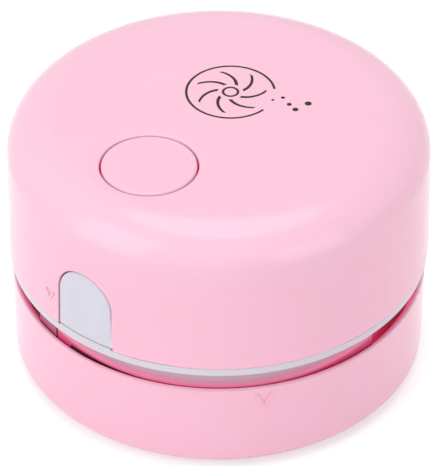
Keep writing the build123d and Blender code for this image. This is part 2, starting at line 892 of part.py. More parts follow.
with BuildPart() as contact_tabs:
    with BuildSketch(Plane.XZ.offset(cell_bay_half)):
        with Locations(*[(side * cell_x, (contact_low_z + contact_high_z) / 2) for side in (-1, 1)]):
            Rectangle(contact_w, contact_high_z - contact_low_z)
        for side in (-1, 1):
            ear_x = side * (cell_x - contact_w / 2 + contact_ear_w / 2)
            with Locations((ear_x, (cell_z + contact_top_z) / 2)):
                Rectangle(contact_ear_w, contact_top_z - cell_z)
    extrude(amount=-contact_t)
finish(contact_tabs.part, "contact_tabs")

with BuildPart() as contact_springs:
    far_seat = Plane(origin=(cell_x, bay_inner, cell_z), x_dir=(1, 0, 0), z_dir=(0, -1, 0))
    near_seat = Plane(origin=(-cell_x, -bay_inner, cell_z), x_dir=(1, 0, 0), z_dir=(0, 1, 0))
    for seat in (far_seat, near_seat):
        add(coil_spring(seat, contact_spring_r, cell_spring_l, cell_spring_turns))
finish(contact_springs.part, "contact_springs")

# ---------------------------------------------------------------------------
# Circuit board, switch and wires
# ---------------------------------------------------------------------------

with BuildPart() as circuit_board:
    with BuildSketch(Plane.XY.offset(board_z)):
        with Locations((0, board_y)):
            RectangleRounded(board_l, board_w, 2 * edge_round)
        with Locations((-board_post_x, board_y - board_post_y), (board_post_x, board_y - board_post_y)):
            Circle(screw_r + slide_gap, mode=Mode.SUBTRACT)
    extrude(amount=board_t)
finish(circuit_board.part, "circuit_board")

with BuildPart() as board_screws:
    for side in (-1, 1):
        add(screw(side * board_post_x, board_y - board_post_y, board_top_z, screw_l, upwards=False))
finish(board_screws.part, "board_screws")

with BuildPart() as switch_body:
    with BuildSketch(Plane.XY.offset(board_top_z)):
        with Locations((0, button_y)):
            Rectangle(switch_w, switch_w)
    extrude(amount=switch_h)
    chamfer(switch_body.edges().filter_by(Axis.Z), edge_round)
    with BuildSketch(Plane.XY.offset(switch_top_z)):
        with Locations((0, button_y)):
            Rectangle(plunger_w + slide_gap, plunger_w + slide_gap)
    extrude(amount=-(plunger_in + button_travel + slide_gap), mode=Mode.SUBTRACT)
finish(switch_body.part, "switch_body")

with BuildPart() as switch_plunger:
    with BuildSketch(Plane.XY.offset(switch_top_z - plunger_in)):
        with Locations((0, button_y)):
            Rectangle(plunger_w, plunger_w)
    extrude(amount=plunger_in + plunger_out)
    chamfer(switch_plunger.edges().group_by(Axis.Z)[-1], edge_round)
finish(switch_plunger.part, "switch_plunger")

with BuildPart() as motor_wires:
    for side in (-1, 1):
        wire_x = side * terminal_x
        terminal_top_z = motor_top_z + terminal_h
        landing_y = board_far_y - wire_landing
        over_z = max(terminal_top_z, board_top_z) + wire_bend + wire_spare
        add(
            wire(
                [
                    (wire_x, terminal_y, terminal_top_z),
                    (wire_x, terminal_y, over_z),
                    (wire_x, landing_y, over_z),
                    (wire_x, landing_y, board_top_z),
                ],
                wire_bend,
            )
        )
finish(motor_wires.part, "motor_wires")

with BuildPart() as battery_wires:
    for side in (-1, 1):
        ear_x = side * (cell_x - contact_w / 2 + contact_ear_w / 2)
        landing_x = side * (board_l / 2 - board_post_inset / 2)
        wire_y = -(cell_bay_half - contact_t / 2)
        over_z = max(contact_top_z, board_top_z) + wire_bend + wire_spare
        add(
            wire(
                [
                    (ear_x, wire_y, contact_top_z),
                    (ear_x, wire_y, over_z),
                    (landing_x, wire_y, over_z),
                    (landing_x, wire_y, board_top_z),
                ],
                wire_bend,
            )
        )
finish(battery_wires.part, "battery_wires")

# ---------------------------------------------------------------------------
# Release tab
# ---------------------------------------------------------------------------

with BuildPart() as release_tab:
    # pad that fills the arch, its face following the cover's wall
    extrude(
        arch_face(
            Plane.XZ.offset(-tab_flange_y), tab_foot_w - tab_gap, tab_w - tab_gap, tab_z, tab_top_z - tab_gap
        ),
        amount=skirt_r + tab_flange_y,
    )
    with BuildSketch(Plane.XZ):
        with BuildLine():
            Polyline(
                (0, skirt_z),
                (skirt_r - tab_recess, skirt_z),
                (cover_r - tab_recess, shoulder_z),
                (0, shoulder_z),
                close=True,
            )
        make_face()
    revolve(axis=Axis.Z, mode=Mode.INTERSECT)
    pad_edges = release_tab.edges().filter_by(
        lambda edge: lies_outside(edge, cover_r - tab_recess - edge_round)
    )
    fillet(pad_edges, edge_round)
    # shallow finger dish
    with Locations((0, -(skirt_r - tab_dish_depth + tab_dish_r), tab_z + tab_dish_rise)):
        Sphere(tab_dish_r, mode=Mode.SUBTRACT)
    # flange behind the cover's wall
    extrude(
        arch_face(
            Plane.XZ.offset(-tab_flange_y), tab_flange_w, tab_flange_w, tab_z, tab_top_z + tab_flange_over
        ),
        amount=-tab_flange_t,
    )
    # tongue that reaches down into the bin, with its nose
    with BuildSketch(Plane.XZ.offset(-tongue_out_y)):
        with Locations((0, (tongue_z + tab_z + tab_flange_over) / 2)):
            Rectangle(tongue_w, tab_z + tab_flange_over - tongue_z)
    extrude(amount=-tongue_t)
    with BuildSketch(Plane.XZ.offset(-tongue_out_y)):
        with Locations((0, tongue_z + nose_h / 2)):
            Rectangle(tongue_w, nose_h)
    extrude(amount=tongue_out_y - nose_y)
    # pin that the spring sits on
    with BuildSketch(Plane.XZ.offset(-tab_back_y)):
        with Locations((0, tab_pin_z)):
            Circle(tab_pin_r)
    extrude(amount=tab_back_y - bracket_y - bracket_t - tab_pin_through)
finish(release_tab.part, "release_tab")

tab_spring_seat = Plane(origin=(0, tab_back_y, tab_pin_z), x_dir=(1, 0, 0), z_dir=(0, 1, 0))
tab_spring = coil_spring(
    tab_spring_seat, tab_pin_r + seat_gap + 2 * spring_wire_r, bracket_y - tab_back_y, tab_spring_turns
)
finish(tab_spring, "tab_spring")

# ---------------------------------------------------------------------------
# Cover and power button
# ---------------------------------------------------------------------------

with BuildPart() as top_shell:
    with BuildSketch(Plane.XZ) as cover_profile:
        with BuildLine():
            Line((0, top_z), (crown_r, top_z))
            EllipticalCenterArc(
                (cover_r - shoulder_a, shoulder_z), shoulder_a, shoulder_b, arc_size=shoulder_end
            )
            Line((cover_r, shoulder_z), (skirt_r, skirt_z))
            Line((skirt_r, skirt_z), (skirt_r - cover_wall, skirt_z))
            Line((skirt_r - cover_wall, skirt_z), (cover_r - cover_wall, shoulder_z))
            inner_shoulder = EllipticalCenterArc(
                (cover_r - shoulder_a, shoulder_z),
                shoulder_a - cover_wall,
                shoulder_b - cover_wall,
                arc_size=shoulder_inner_end,
            )
            Line(inner_shoulder @ 1, (0, cover_roof_z))
            Line((0, cover_roof_z), (0, top_z))
        make_face()
        fillet(cover_profile.vertices().group_by(Axis.X)[-1], edge_round)
    revolve(axis=Axis.Z)
    # guide tube of the button, with the shelf that its spring stands on
    with BuildSketch(Plane.XY.offset(guide_z)):
        with Locations((0, button_y)):
            Circle(button_hole_r + guide_wall)
    extrude(amount=cover_roof_z - guide_z)
    with BuildSketch(Plane.XY.offset(shelf_top_z)):
        with Locations((0, button_y)):
            Circle(button_hole_r)
    extrude(amount=top_z - shelf_top_z, mode=Mode.SUBTRACT)
    with BuildSketch(Plane.XY.offset(guide_z)):
        with Locations((0, button_y)):
            Circle(shelf_bore_r)
    extrude(amount=shelf_t, mode=Mode.SUBTRACT)
    # shallow dish around the button, and the rounded rim of its hole
    with Locations((0, button_y, top_z)):
        Cone(
            button_hole_r,
            button_hole_r + button_dish_run,
            button_dish_drop,
            align=(Align.CENTER, Align.CENTER, Align.MAX),
            mode=Mode.SUBTRACT,
        )
    hole_rims = top_shell.edges().filter_by(lambda edge: is_circle(edge, button_hole_r))
    fillet(hole_rims.sort_by(Axis.Z)[-1], fine_round)
    # arched notch for the release tab, open at the skirt
    extrude(
        arch_face(
            Plane.XZ.offset(cover_r - shoulder_run / 2),
            tab_foot_w + tab_gap,
            tab_w + tab_gap,
            skirt_z - edge_round,
            tab_top_z,
        ),
        amount=shoulder_run,
        mode=Mode.SUBTRACT,
    )
    notch_edges = top_shell.edges(Select.LAST).filter_by(
        lambda edge: lies_outside(edge, cover_r - fine_round) and edge.bounding_box().min.Z > skirt_z
    )
    fillet(notch_edges, fine_round)
    cover_mark_drop = shoulder_z - skirt_z - cover_mark_rise
    add(
        v_mark(
            cover_r + cover_draft * cover_mark_drop / (shoulder_z - skirt_z),
            cover_mark_angle,
            skirt_z + cover_mark_rise,
            cover_mark_w,
            cover_mark_h,
        )
    )
finish(top_shell.part, "top_shell")

with BuildPart() as power_button:
    with BuildSketch(Plane.XY.offset(cap_z)):
        with Locations((0, button_y)):
            Circle(button_hole_r - button_gap)
    extrude(amount=button_t)
    fillet(power_button.edges().group_by(Axis.Z)[-1], button_crown_round)
    # stem that pushes the switch
    with BuildSketch(Plane.XY.offset(cap_z)):
        with Locations((0, button_y)):
            Circle(stem_r)
    extrude(amount=-stem_l)
    # two legs that hook under the shelf
    leg_outer = shelf_bore_r - slide_gap
    for side in (-1, 1):
        with BuildSketch(Plane.XY.offset(hook_z)):
            with Locations((side * (leg_outer - leg_t / 2), button_y)):
                Rectangle(leg_t, leg_w)
        extrude(amount=cap_z - hook_z)
        with BuildSketch(Plane.XY.offset(hook_z)):
            with Locations((side * (leg_outer + hook_reach / 2), button_y)):
                Rectangle(hook_reach, leg_w)
        extrude(amount=hook_h)
finish(power_button.part, "power_button")

button_spring = coil_spring(
    Plane(origin=(0, button_y, shelf_top_z)),
    (shelf_bore_r + button_hole_r) / 2,
    cap_z - shelf_top_z,
    button_spring_turns,
)
finish(button_spring, "button_spring")
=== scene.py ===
"""Looks of the desktop mini vacuum cleaner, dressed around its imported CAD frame.

Metres throughout, in the frame of the CAD: +Z up, origin on the desk under the middle of
the bin, the release tab and the power button facing -Y.
"""

import itertools
import math
import random

import bmesh
import bpy
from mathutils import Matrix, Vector


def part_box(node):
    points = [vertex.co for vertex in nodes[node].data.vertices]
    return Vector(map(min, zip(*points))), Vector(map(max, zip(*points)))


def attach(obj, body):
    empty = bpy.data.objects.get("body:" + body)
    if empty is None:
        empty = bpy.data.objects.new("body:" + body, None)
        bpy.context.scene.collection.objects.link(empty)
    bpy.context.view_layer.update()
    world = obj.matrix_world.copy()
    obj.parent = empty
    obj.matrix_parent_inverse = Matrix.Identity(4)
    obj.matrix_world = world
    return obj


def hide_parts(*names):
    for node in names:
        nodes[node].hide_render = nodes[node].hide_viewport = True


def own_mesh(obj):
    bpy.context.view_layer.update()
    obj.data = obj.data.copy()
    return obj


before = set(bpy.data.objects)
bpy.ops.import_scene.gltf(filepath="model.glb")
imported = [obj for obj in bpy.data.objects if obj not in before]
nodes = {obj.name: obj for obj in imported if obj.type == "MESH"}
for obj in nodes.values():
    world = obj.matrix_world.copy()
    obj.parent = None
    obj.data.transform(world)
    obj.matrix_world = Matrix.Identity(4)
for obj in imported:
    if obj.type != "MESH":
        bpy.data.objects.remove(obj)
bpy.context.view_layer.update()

MM = 0.001

# ---------------------------------------------------------------------------
# Places on the object
# ---------------------------------------------------------------------------

TOP_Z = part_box("top_shell")[1][2]
BUTTON_LOW, BUTTON_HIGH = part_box("power_button")
BUTTON_Y = (BUTTON_LOW[1] + BUTTON_HIGH[1]) / 2
BUTTON_R = (BUTTON_HIGH[0] - BUTTON_LOW[0]) / 2

# levels and radii of the bin's rim, the neck above it and the channel round the collar
RIM_Z = 21.1 * MM
NECK_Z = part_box("waist_ring")[0][2]
LIP_Z = 25.25 * MM
NECK_R = 42.04 * MM
RIM_INNER_R = 42.29 * MM
COLLAR_R = 36.59 * MM

# the arch of the tab: where it starts to bend, and its half width
ARCH_Z = 36.5 * MM
ARCH_R = 6.7 * MM

# the neck, as angles from the front towards +X; it is there twice, half a turn apart
NECK_MIDDLE = math.radians(36.5)
NECK_HALF = math.radians(48.8)
NECK_END = math.radians(-12.3)
NECK_WRAP = (math.radians(150), math.radians(-30))

# ---------------------------------------------------------------------------
# Colours, as 8-bit sRGB
# ---------------------------------------------------------------------------

SHELL_PINK = (253, 199, 219)
# painted bounce light: the shell's walls a little deeper pink than its top
WALL_BOUNCE_PINK = (255, 195, 217)
# painted shade and bounce light: deeper pink inside the channel round the collar
CHANNEL_SHADE_PINK = (252, 160, 192)
PALE_GREY = (216, 215, 226)
RING_PALE = (220, 215, 224)
HOUSING_WHITE = (226, 226, 228)
RUBBER_BLACK = (38, 38, 41)
SEAL_GREY = (96, 97, 102)
CLOTH_WHITE = (244, 243, 239)
BRISTLE_DARK = (52, 50, 56)
STEEL = (178, 180, 184)
BRIGHT_STEEL = (200, 202, 206)
NYLON_CREAM = (236, 232, 216)
TIN = (206, 200, 184)
SLEEVE_GREEN = (56, 128, 92)
SLEEVE_BLACK = (34, 36, 38)
BOARD_GREEN = (24, 92, 54)
BOARD_TRACE = (52, 132, 78)
BOARD_CUT = (166, 160, 96)
SOLDER = (196, 198, 202)
SWITCH_BLACK = (36, 36, 40)
WIRE_RED = (176, 32, 34)
WIRE_BLACK = (30, 30, 32)
INK = (38, 5, 16)

# painted glow, as linear colour: for light through the channel's thin walls, and for light on the
# tab's edge in its notch
CHANNEL_PAINTED_GLOW = (0.25, 0.02, 0.065, 1)
TAB_PAINTED_LIGHT = (0.36, 0.31, 0.34, 1)
# how much stronger the channel's painted glow gets per metre along X and Y
PAINTED_GLOW_SLANT = (4.6, 3.6)

# the button's gap: painted light and glow on its walls down to a depth, and painted shade and glow
# below it
GAP_LIT_DEPTH = 0.95 * MM
GAP_LIT_PINK = (222, 184, 204)
GAP_LIT_GLOW = (82, 76, 84)
GAP_SHADE_PINK = (206, 34, 92)
GAP_SHADE_GLOW = (128, 6, 50)

# painted bounce light and shade on the neck, from its foot to the lip, by share of its height
NECK_PAINTED_BOUNCE = (
    (0.0, (206, 50, 104)),
    (0.18, (238, 124, 164)),
    (0.42, (208, 136, 162)),
    (0.62, (200, 158, 178)),
    (0.80, (186, 174, 186)),
)
# painted shadow in the crevice at the neck's foot, and painted shade on the rib past its end
NECK_CREVICE_SHADOW = (56, 2, 20)
RIB_SHADE = (170, 75, 107)


def srgb(colour):
    """Linear colour with alpha, from 8-bit sRGB values."""
    channels = []
    for value in colour:
        c = value / 255
        channels.append(c / 12.92 if c <= 0.04045 else ((c + 0.055) / 1.055) ** 2.4)
    return (*channels, 1.0)


def shade(colour, factor):
    """The same colour, lighter or darker."""
    return tuple(min(255, value * factor) for value in colour)


# ---------------------------------------------------------------------------
# Node building
# ---------------------------------------------------------------------------


class Shader:
    """A material that is built up node by node around its Principled shader."""

    def __init__(self, name):
        self.material = bpy.data.materials.new(name)
        self.material.use_nodes = True
        self.tree = self.material.node_tree
        self.surface = self.tree.nodes["Principled BSDF"]

    def node(self, kind, **settings):
        made = self.tree.nodes.new(kind)
        for key, value in settings.items():
            setattr(made, key, value)
        return made

    def feed(self, socket, source):
        """Link a socket to another one, or set its value."""
        if isinstance(source, bpy.types.NodeSocket):
            self.tree.links.new(source, socket)
        else:
            socket.default_value = source

    def set(self, **values):
        """Values of the Principled shader; _ stands for a space in a socket's name."""
        for key, value in values.items():
            self.feed(self.surface.inputs[key.replace("_", " ")], value)

    def math(self, operation, first, second=0.0, third=0.0):
        made = self.node("ShaderNodeMath", operation=operation)
        for socket, source in zip(made.inputs, (first, second, third)):
            self.feed(socket, source)
        return made.outputs[0]

    def place(self):
        """The point in the object's own frame, which is the CAD's frame at rest."""
        return self.node("ShaderNodeTexCoord").outputs["Object"]

    def parts(self, vector):
        """X, Y and Z of a vector."""
        made = self.node("ShaderNodeSeparateXYZ")
        self.feed(made.inputs[0], vector)
        return made.outputs

    def stretch(self, vector, scale, turn=(0, 0, 0)):
        made = self.node("ShaderNodeMapping")
        self.feed(made.inputs["Vector"], vector)
        made.inputs["Scale"].default_value = scale
        made.inputs["Rotation"].default_value = turn
        return made.outputs[0]

    def noise(self, place, per_metre, detail=2.0, roughness=0.5, distortion=0.0):
        made = self.node("ShaderNodeTexNoise")
        self.feed(made.inputs["Vector"], place)
        made.inputs["Scale"].default_value = per_metre
        made.inputs["Detail"].default_value = detail
        made.inputs["Roughness"].default_value = roughness
        made.inputs["Distortion"].default_value = distortion
        return made.outputs[0]

    def ramp(self, value, low, high, start=0.0, end=1.0):
        """Smooth step of a value from start to end as it goes from low to high."""
        made = self.node("ShaderNodeMapRange", interpolation_type="SMOOTHSTEP")
        for name, source in zip(
            ("Value", "From Min", "From Max", "To Min", "To Max"), (value, low, high, start, end)
        ):
            self.feed(made.inputs[name], source)
        return made.outputs[0]

    def mix(self, factor, first, second):
        """Blend of two colours, each an 8-bit triple or a socket."""
        made = self.node("ShaderNodeMix", data_type="RGBA")
        self.feed(made.inputs["Factor"], factor)
        for name, source in (("A", first), ("B", second)):
            socket = [s for s in made.inputs if s.name == name and s.type == "RGBA"][0]
            self.feed(socket, srgb(source) if isinstance(source, tuple) else source)
        return [s for s in made.outputs if s.type == "RGBA"][0]

    def soft_edges(self, radius):
        """Normal that rounds sharp edges, and a mask that is 1 along them."""
        bevel = self.node("ShaderNodeBevel", samples=4)
        bevel.inputs["Radius"].default_value = radius
        facing = self.node("ShaderNodeVectorMath", operation="DOT_PRODUCT")
        self.feed(facing.inputs[0], bevel.outputs[0])
        self.feed(facing.inputs[1], self.node("ShaderNodeNewGeometry").outputs["Normal"])
        mask = self.ramp(facing.outputs["Value"], 0.995, 0.90)
        return bevel.outputs[0], mask

    def relief(self, height, depth, normal=None):
        """Bump of a height map that is depth metres deep."""
        made = self.node("ShaderNodeBump")
        made.inputs["Strength"].default_value = 1.0
        made.inputs["Distance"].default_value = depth
        self.feed(made.inputs["Height"], height)
        if normal is not None:
            self.feed(made.inputs["Normal"], normal)
        return made.outputs[0]


# ---------------------------------------------------------------------------
# Materials
# ---------------------------------------------------------------------------


PLASTIC_IOR = 1.45
SHELL_IOR = 1.39
SHELL_ROUGHNESS = 0.11
SHELL_GRAIN = 0.0025 * MM
SHELL_EDGE = 0.08 * MM
PALE_ROUGHNESS = 0.28
PALE_GRAIN = 0.004 * MM
PALE_SMEAR = 0.08
MATTE_ROUGHNESS = 0.52
MATTE_GRAIN = 0.012 * MM


def moulded_plastic(name, colour, roughness, grain, smear=0.3, edge_radius=0.2 * MM):
    """Moulded plastic: faint flow clouds, rubbed edges, smears, and a fine grain on its skin."""
    shader = Shader(name)
    place = shader.place()
    rounded, edges = shader.soft_edges(edge_radius)
    clouds = shader.noise(place, 38, detail=3)
    tint = shader.mix(clouds, shade(colour, 0.985), shade(colour, 1.012))
    tint = shader.mix(shader.math("MULTIPLY", edges, 0.25), tint, shade(colour, 1.06))
    smears = shader.noise(place, 120, detail=4, roughness=0.65, distortion=1.2)
    gloss = shader.ramp(smears, 0.3, 0.75, roughness, roughness * (1 + smear))
    gloss = shader.math("MULTIPLY_ADD", edges, 0.12, gloss)
    skin = shader.noise(place, 2600, detail=2)
    shader.set(
        Base_Color=tint,
        Roughness=gloss,
        Normal=shader.relief(skin, grain, rounded),
        IOR=PLASTIC_IOR,
    )
    return shader, tint


def pale_plastic(name, colour):
    """Pale moulding with a soft gloss and hardly a smear."""
    return moulded_plastic(name, colour, PALE_ROUGHNESS, PALE_GRAIN, smear=PALE_SMEAR)


def radius_of(shader, x, y):
    """Length of a vector in the plane."""
    squares = [shader.math("POWER", part, 2.0) for part in (x, y)]
    return shader.math("SQRT", shader.math("ADD", *squares))


def paint_gap_light_and_shade(shader, tint):
    """Painted light and shade on the walls that face each other across the button's gap: lit near
    the top, deep pink below.
    """
    x, y, z = shader.parts(shader.place())
    radius = radius_of(shader, x, shader.math("SUBTRACT", y, BUTTON_Y))
    off = shader.math("ABSOLUTE", shader.math("SUBTRACT", radius, BUTTON_R + 0.2 * MM))
    walls = shader.ramp(off, 0.4 * MM, 0.3 * MM)
    below = shader.ramp(z, TOP_Z - 0.25 * MM, TOP_Z - 0.5 * MM)
    walls = shader.math("MULTIPLY", walls, below)
    # painted light near the top of the gap, painted shade and glow deeper down
    deep = shader.ramp(z, TOP_Z - GAP_LIT_DEPTH, TOP_Z - 1.6 * GAP_LIT_DEPTH)
    toned = shader.mix(deep, GAP_LIT_PINK, GAP_SHADE_PINK)
    shader.set(Base_Color=shader.mix(walls, tint, toned))
    shader.set(Emission_Color=shader.mix(deep, GAP_LIT_GLOW, GAP_SHADE_GLOW))
    shader.set(Emission_Strength=walls)


def gloss_pink(name, colour):
    """Gloss pink shell, with painted bounce light that makes it a little deeper pink down its walls
    than on its top.
    """
    shader, tint = moulded_plastic(
        name, colour, SHELL_ROUGHNESS, SHELL_GRAIN, edge_radius=SHELL_EDGE
    )
    z = shader.parts(shader.place())[2]
    # painted bounce light, deeper pink down the walls
    deeper = shader.ramp(z, TOP_Z - 4 * MM, TOP_Z - 16 * MM)
    shader.set(IOR=SHELL_IOR)
    return shader, shader.mix(deeper, tint, WALL_BOUNCE_PINK)


def gloss_button(name, colour):
    """The shell's gloss, with painted light and shade on the wall in the gap."""
    shader, tint = gloss_pink(name, colour)
    paint_gap_light_and_shade(shader, tint)
    return shader.material


def painted_glow_bin(name, colour):
    """Gloss shell with a painted glow and painted deeper pink shade in the channel round its
    collar, for light through its thin pink wall.
    """
    shader, tint = gloss_pink(name, colour)
    x, y, z = shader.parts(shader.place())
    radius = radius_of(shader, x, y)
    channel = shader.ramp(radius, RIM_INNER_R + 0.1 * MM, RIM_INNER_R - 0.05 * MM)
    outside = shader.ramp(radius, COLLAR_R - 0.3 * MM, COLLAR_R - 0.1 * MM)
    above = shader.ramp(z, RIM_Z - 9 * MM, RIM_Z - 4 * MM)
    channel = shader.math("MULTIPLY", shader.math("MULTIPLY", channel, outside), above)
    # painted glow: stronger on the right of the front than on its left
    along_x, along_y = PAINTED_GLOW_SLANT
    slant = shader.math("MULTIPLY_ADD", x, along_x, shader.math("MULTIPLY", y, along_y))
    shader.set(
        Base_Color=shader.mix(channel, tint, CHANNEL_SHADE_PINK),
        Emission_Color=CHANNEL_PAINTED_GLOW,
        Emission_Strength=shader.math("MULTIPLY_ADD", channel, slant, channel),
    )
    return shader.material


# the painted crevice shadow at the neck's foot: its share of the height, and that of the slit it
# opens into;
# the angles where the slit begins, is widest and has closed, and how far it takes to close
SHADOW_SHARE = 0.13
SLIT_SHARE = 0.31
SLIT_BEGINS = math.radians(20)
SLIT_WIDEST = math.radians(-7)
SLIT_CLOSED = math.radians(-7.5)
SLIT_CLOSING = math.radians(1)
RIB_BLUR = math.radians(0.3)


def neck_painted_light(name, colour):
    """Pale plastic with painted pink bounce light from the rim it dips into, and a painted crevice
    shadow below.
    """
    shader, tint = pale_plastic(name, colour)
    x, y, z = shader.parts(shader.place())
    radius = radius_of(shader, x, y)
    # the outer face of the neck alone
    face = shader.ramp(radius, NECK_R + 0.25 * MM, NECK_R + 0.1 * MM)
    outside = shader.ramp(radius, NECK_R - 0.5 * MM, NECK_R - 0.2 * MM)
    below = shader.ramp(z, LIP_Z + 0.1 * MM, LIP_Z - 0.1 * MM)
    face = shader.math("MULTIPLY", shader.math("MULTIPLY", face, outside), below)
    turn = shader.math("ARCTAN2", x, shader.math("MULTIPLY", y, -1.0))
    turn = shader.math("WRAP", turn, *NECK_WRAP)
    level = shader.math("DIVIDE", shader.math("SUBTRACT", z, NECK_Z), LIP_Z - NECK_Z)
    # painted light: redder towards the ends of the neck
    aside = shader.math("DIVIDE", shader.math("SUBTRACT", turn, NECK_MIDDLE), NECK_HALF)
    aside = shader.math("MINIMUM", shader.math("POWER", aside, 2.0), 1.0)
    grade = shader.node("ShaderNodeValToRGB")
    shader.feed(grade.inputs["Fac"], shader.math("MULTIPLY_ADD", aside, -0.5, level))
    stops = grade.color_ramp.elements
    for index, (at, shown) in enumerate(NECK_PAINTED_BOUNCE):
        stop = stops[index] if index < 2 else stops.new(at)
        stop.position = at
        stop.color = srgb(shown)
    # what stands past the end of the neck is the rib, in painted shade
    rib = shader.ramp(turn, NECK_END + RIB_BLUR, NECK_END - RIB_BLUR)
    toned = shader.mix(rib, grade.outputs["Color"], RIB_SHADE)
    # painted shadow in the crevice at the foot, which opens into a slit near the tab
    slit = shader.ramp(turn, SLIT_BEGINS, SLIT_WIDEST, SHADOW_SHARE, SLIT_SHARE)
    open_end = shader.ramp(turn, SLIT_CLOSED, SLIT_CLOSED + SLIT_CLOSING)
    slit = shader.math("MAXIMUM", shader.math("MULTIPLY", slit, open_end), SHADOW_SHARE)
    crevice_shadow = shader.ramp(shader.math("SUBTRACT", slit, level), -0.02, 0.02)
    toned = shader.mix(crevice_shadow, toned, NECK_CREVICE_SHADOW)
    shader.set(Base_Color=shader.mix(face, tint, toned))
    return shader.material


SWIRL_X = -2.5 * MM
SWIRL_Y = 7.0 * MM
SWIRL_R = 9.0 * MM
SWIRL_LINE = 0.52 * MM
SWIRL_ARMS = 7
SWIRL_TWIST = -0.16 / MM
SWIRL_GAP = 0.35
DOT_COUNT = 5
INK_BLUR = 0.05 * MM


def swirl_ink(shader, place):
    """Mask of a printed air swirl: curved arms inside a ring, with dots drawn in towards it."""
    x, y, z = shader.parts(place)
    across = shader.math("SUBTRACT", x, SWIRL_X)
    along = shader.math("SUBTRACT", y, SWIRL_Y)
    reach = radius_of(shader, across, along)
    angle = shader.math("ARCTAN2", along, across)

    def within(distance, limit):
        """1 where a distance is below its limit, with the blur of ink at its edge."""
        return shader.ramp(distance, limit + INK_BLUR, limit - INK_BLUR)

    def circle(radius):
        """A line along a circle round the middle of the swirl."""
        off = shader.math("ABSOLUTE", shader.math("SUBTRACT", reach, radius))
        return within(off, SWIRL_LINE / 2)

    # arms: lines of a spiral, equally thick at any distance from its middle
    turned = shader.math("MULTIPLY_ADD", reach, SWIRL_TWIST, angle)
    share = shader.math("FRACT", shader.math("MULTIPLY", turned, SWIRL_ARMS / math.tau))
    off = shader.math("ABSOLUTE", shader.math("SUBTRACT", share, 0.5))
    off = shader.math("MULTIPLY", off, shader.math("MULTIPLY", reach, math.tau / SWIRL_ARMS))
    inside = shader.ramp(reach, 0.82 * SWIRL_R, 0.80 * SWIRL_R)
    outside = shader.ramp(reach, 0.28 * SWIRL_R, 0.30 * SWIRL_R)
    arm = shader.math("MULTIPLY", within(off, 0.75 * SWIRL_LINE), inside)
    arm = shader.math("MULTIPLY", arm, outside)
    # ring with a gap where the dots come in
    beside = shader.math("ABSOLUTE", shader.math("SUBTRACT", angle, SWIRL_GAP))
    ring = shader.math("MULTIPLY", circle(SWIRL_R), shader.ramp(beside, 0.42, 0.44))
    ink = shader.math("MAXIMUM", shader.math("MAXIMUM", arm, ring), circle(0.17 * SWIRL_R))
    # dots that shrink towards the swirl
    for step in range(DOT_COUNT):
        dot_angle = SWIRL_GAP + 0.13 * math.sin(step * 1.7)
        dot_reach = SWIRL_R * (1.0 + 0.2 * step)
        away = radius_of(
            shader,
            shader.math("SUBTRACT", across, dot_reach * math.cos(dot_angle)),
            shader.math("SUBTRACT", along, dot_reach * math.sin(dot_angle)),
        )
        dot = within(away, (0.32 + 0.1 * step) * MM)
        ink = shader.math("MAXIMUM", ink, dot)
    on_top = shader.ramp(z, TOP_Z - 0.2 * MM, TOP_Z - 0.1 * MM)
    return shader.math("MULTIPLY", ink, on_top)


def printed_shell(name, colour):
    """Gloss shell with the printed swirl on its flat top."""
    shader, tint = gloss_pink(name, colour)
    ink = swirl_ink(shader, shader.place())
    # painted light and shade on the walls of the button's gap
    paint_gap_light_and_shade(shader, shader.mix(ink, tint, INK))
    return shader.material


def soft_gloss(name, colour):
    """Pale plastic as it is."""
    return pale_plastic(name, colour)[0].material


def arch_reach(shader, x, z):
    """Distance from the spine of the arch that the tab and its notch share."""
    rise = shader.math("MAXIMUM", shader.math("SUBTRACT", z, ARCH_Z), 0.0)
    return radius_of(shader, x, rise)


def tab_with_painted_edge_light(name, colour):
    """Pale plastic with a painted glow along its thin right edge inside the notch."""
    shader, _ = pale_plastic(name, colour)
    x, y, z = shader.parts(shader.place())
    # painted light on the tab's right edge, which lightens the shade of the gap there
    edge = shader.ramp(arch_reach(shader, x, z), ARCH_R - 0.22 * MM, ARCH_R - 0.04 * MM)
    # on the right alone, and near the outer face
    edge = shader.math("MULTIPLY", edge, shader.ramp(x, -2.0 * MM, 2.0 * MM))
    edge = shader.math("MULTIPLY", edge, shader.ramp(y, -40.0 * MM, -41.0 * MM))
    shader.set(Emission_Color=TAB_PAINTED_LIGHT, Emission_Strength=edge)
    return shader.material


def matte_plastic(name, colour):
    """Moulding of an inner part, with a spark-eroded skin."""
    shader, _ = moulded_plastic(name, colour, MATTE_ROUGHNESS, MATTE_GRAIN)
    return shader.material


def rubber(name, colour):
    """Matt rubber with a dusty grain."""
    shader = Shader(name)
    place = shader.place()
    rounded, edges = shader.soft_edges(0.25 * MM)
    grain = shader.noise(place, 3200, detail=3)
    dust = shader.noise(place, 260, detail=5, roughness=0.7)
    dusty = shader.ramp(dust, 0.5, 0.8, 0.0, 0.35)
    tint = shader.mix(dusty, colour, shade(colour, 2.2))
    tint = shader.mix(shader.math("MULTIPLY", edges, 0.4), tint, shade(colour, 1.8))
    shader.set(Base_Color=tint, Roughness=shader.ramp(grain, 0.3, 0.7, 0.62, 0.85))
    shader.set(Normal=shader.relief(grain, 0.03 * MM, rounded))
    return shader.material


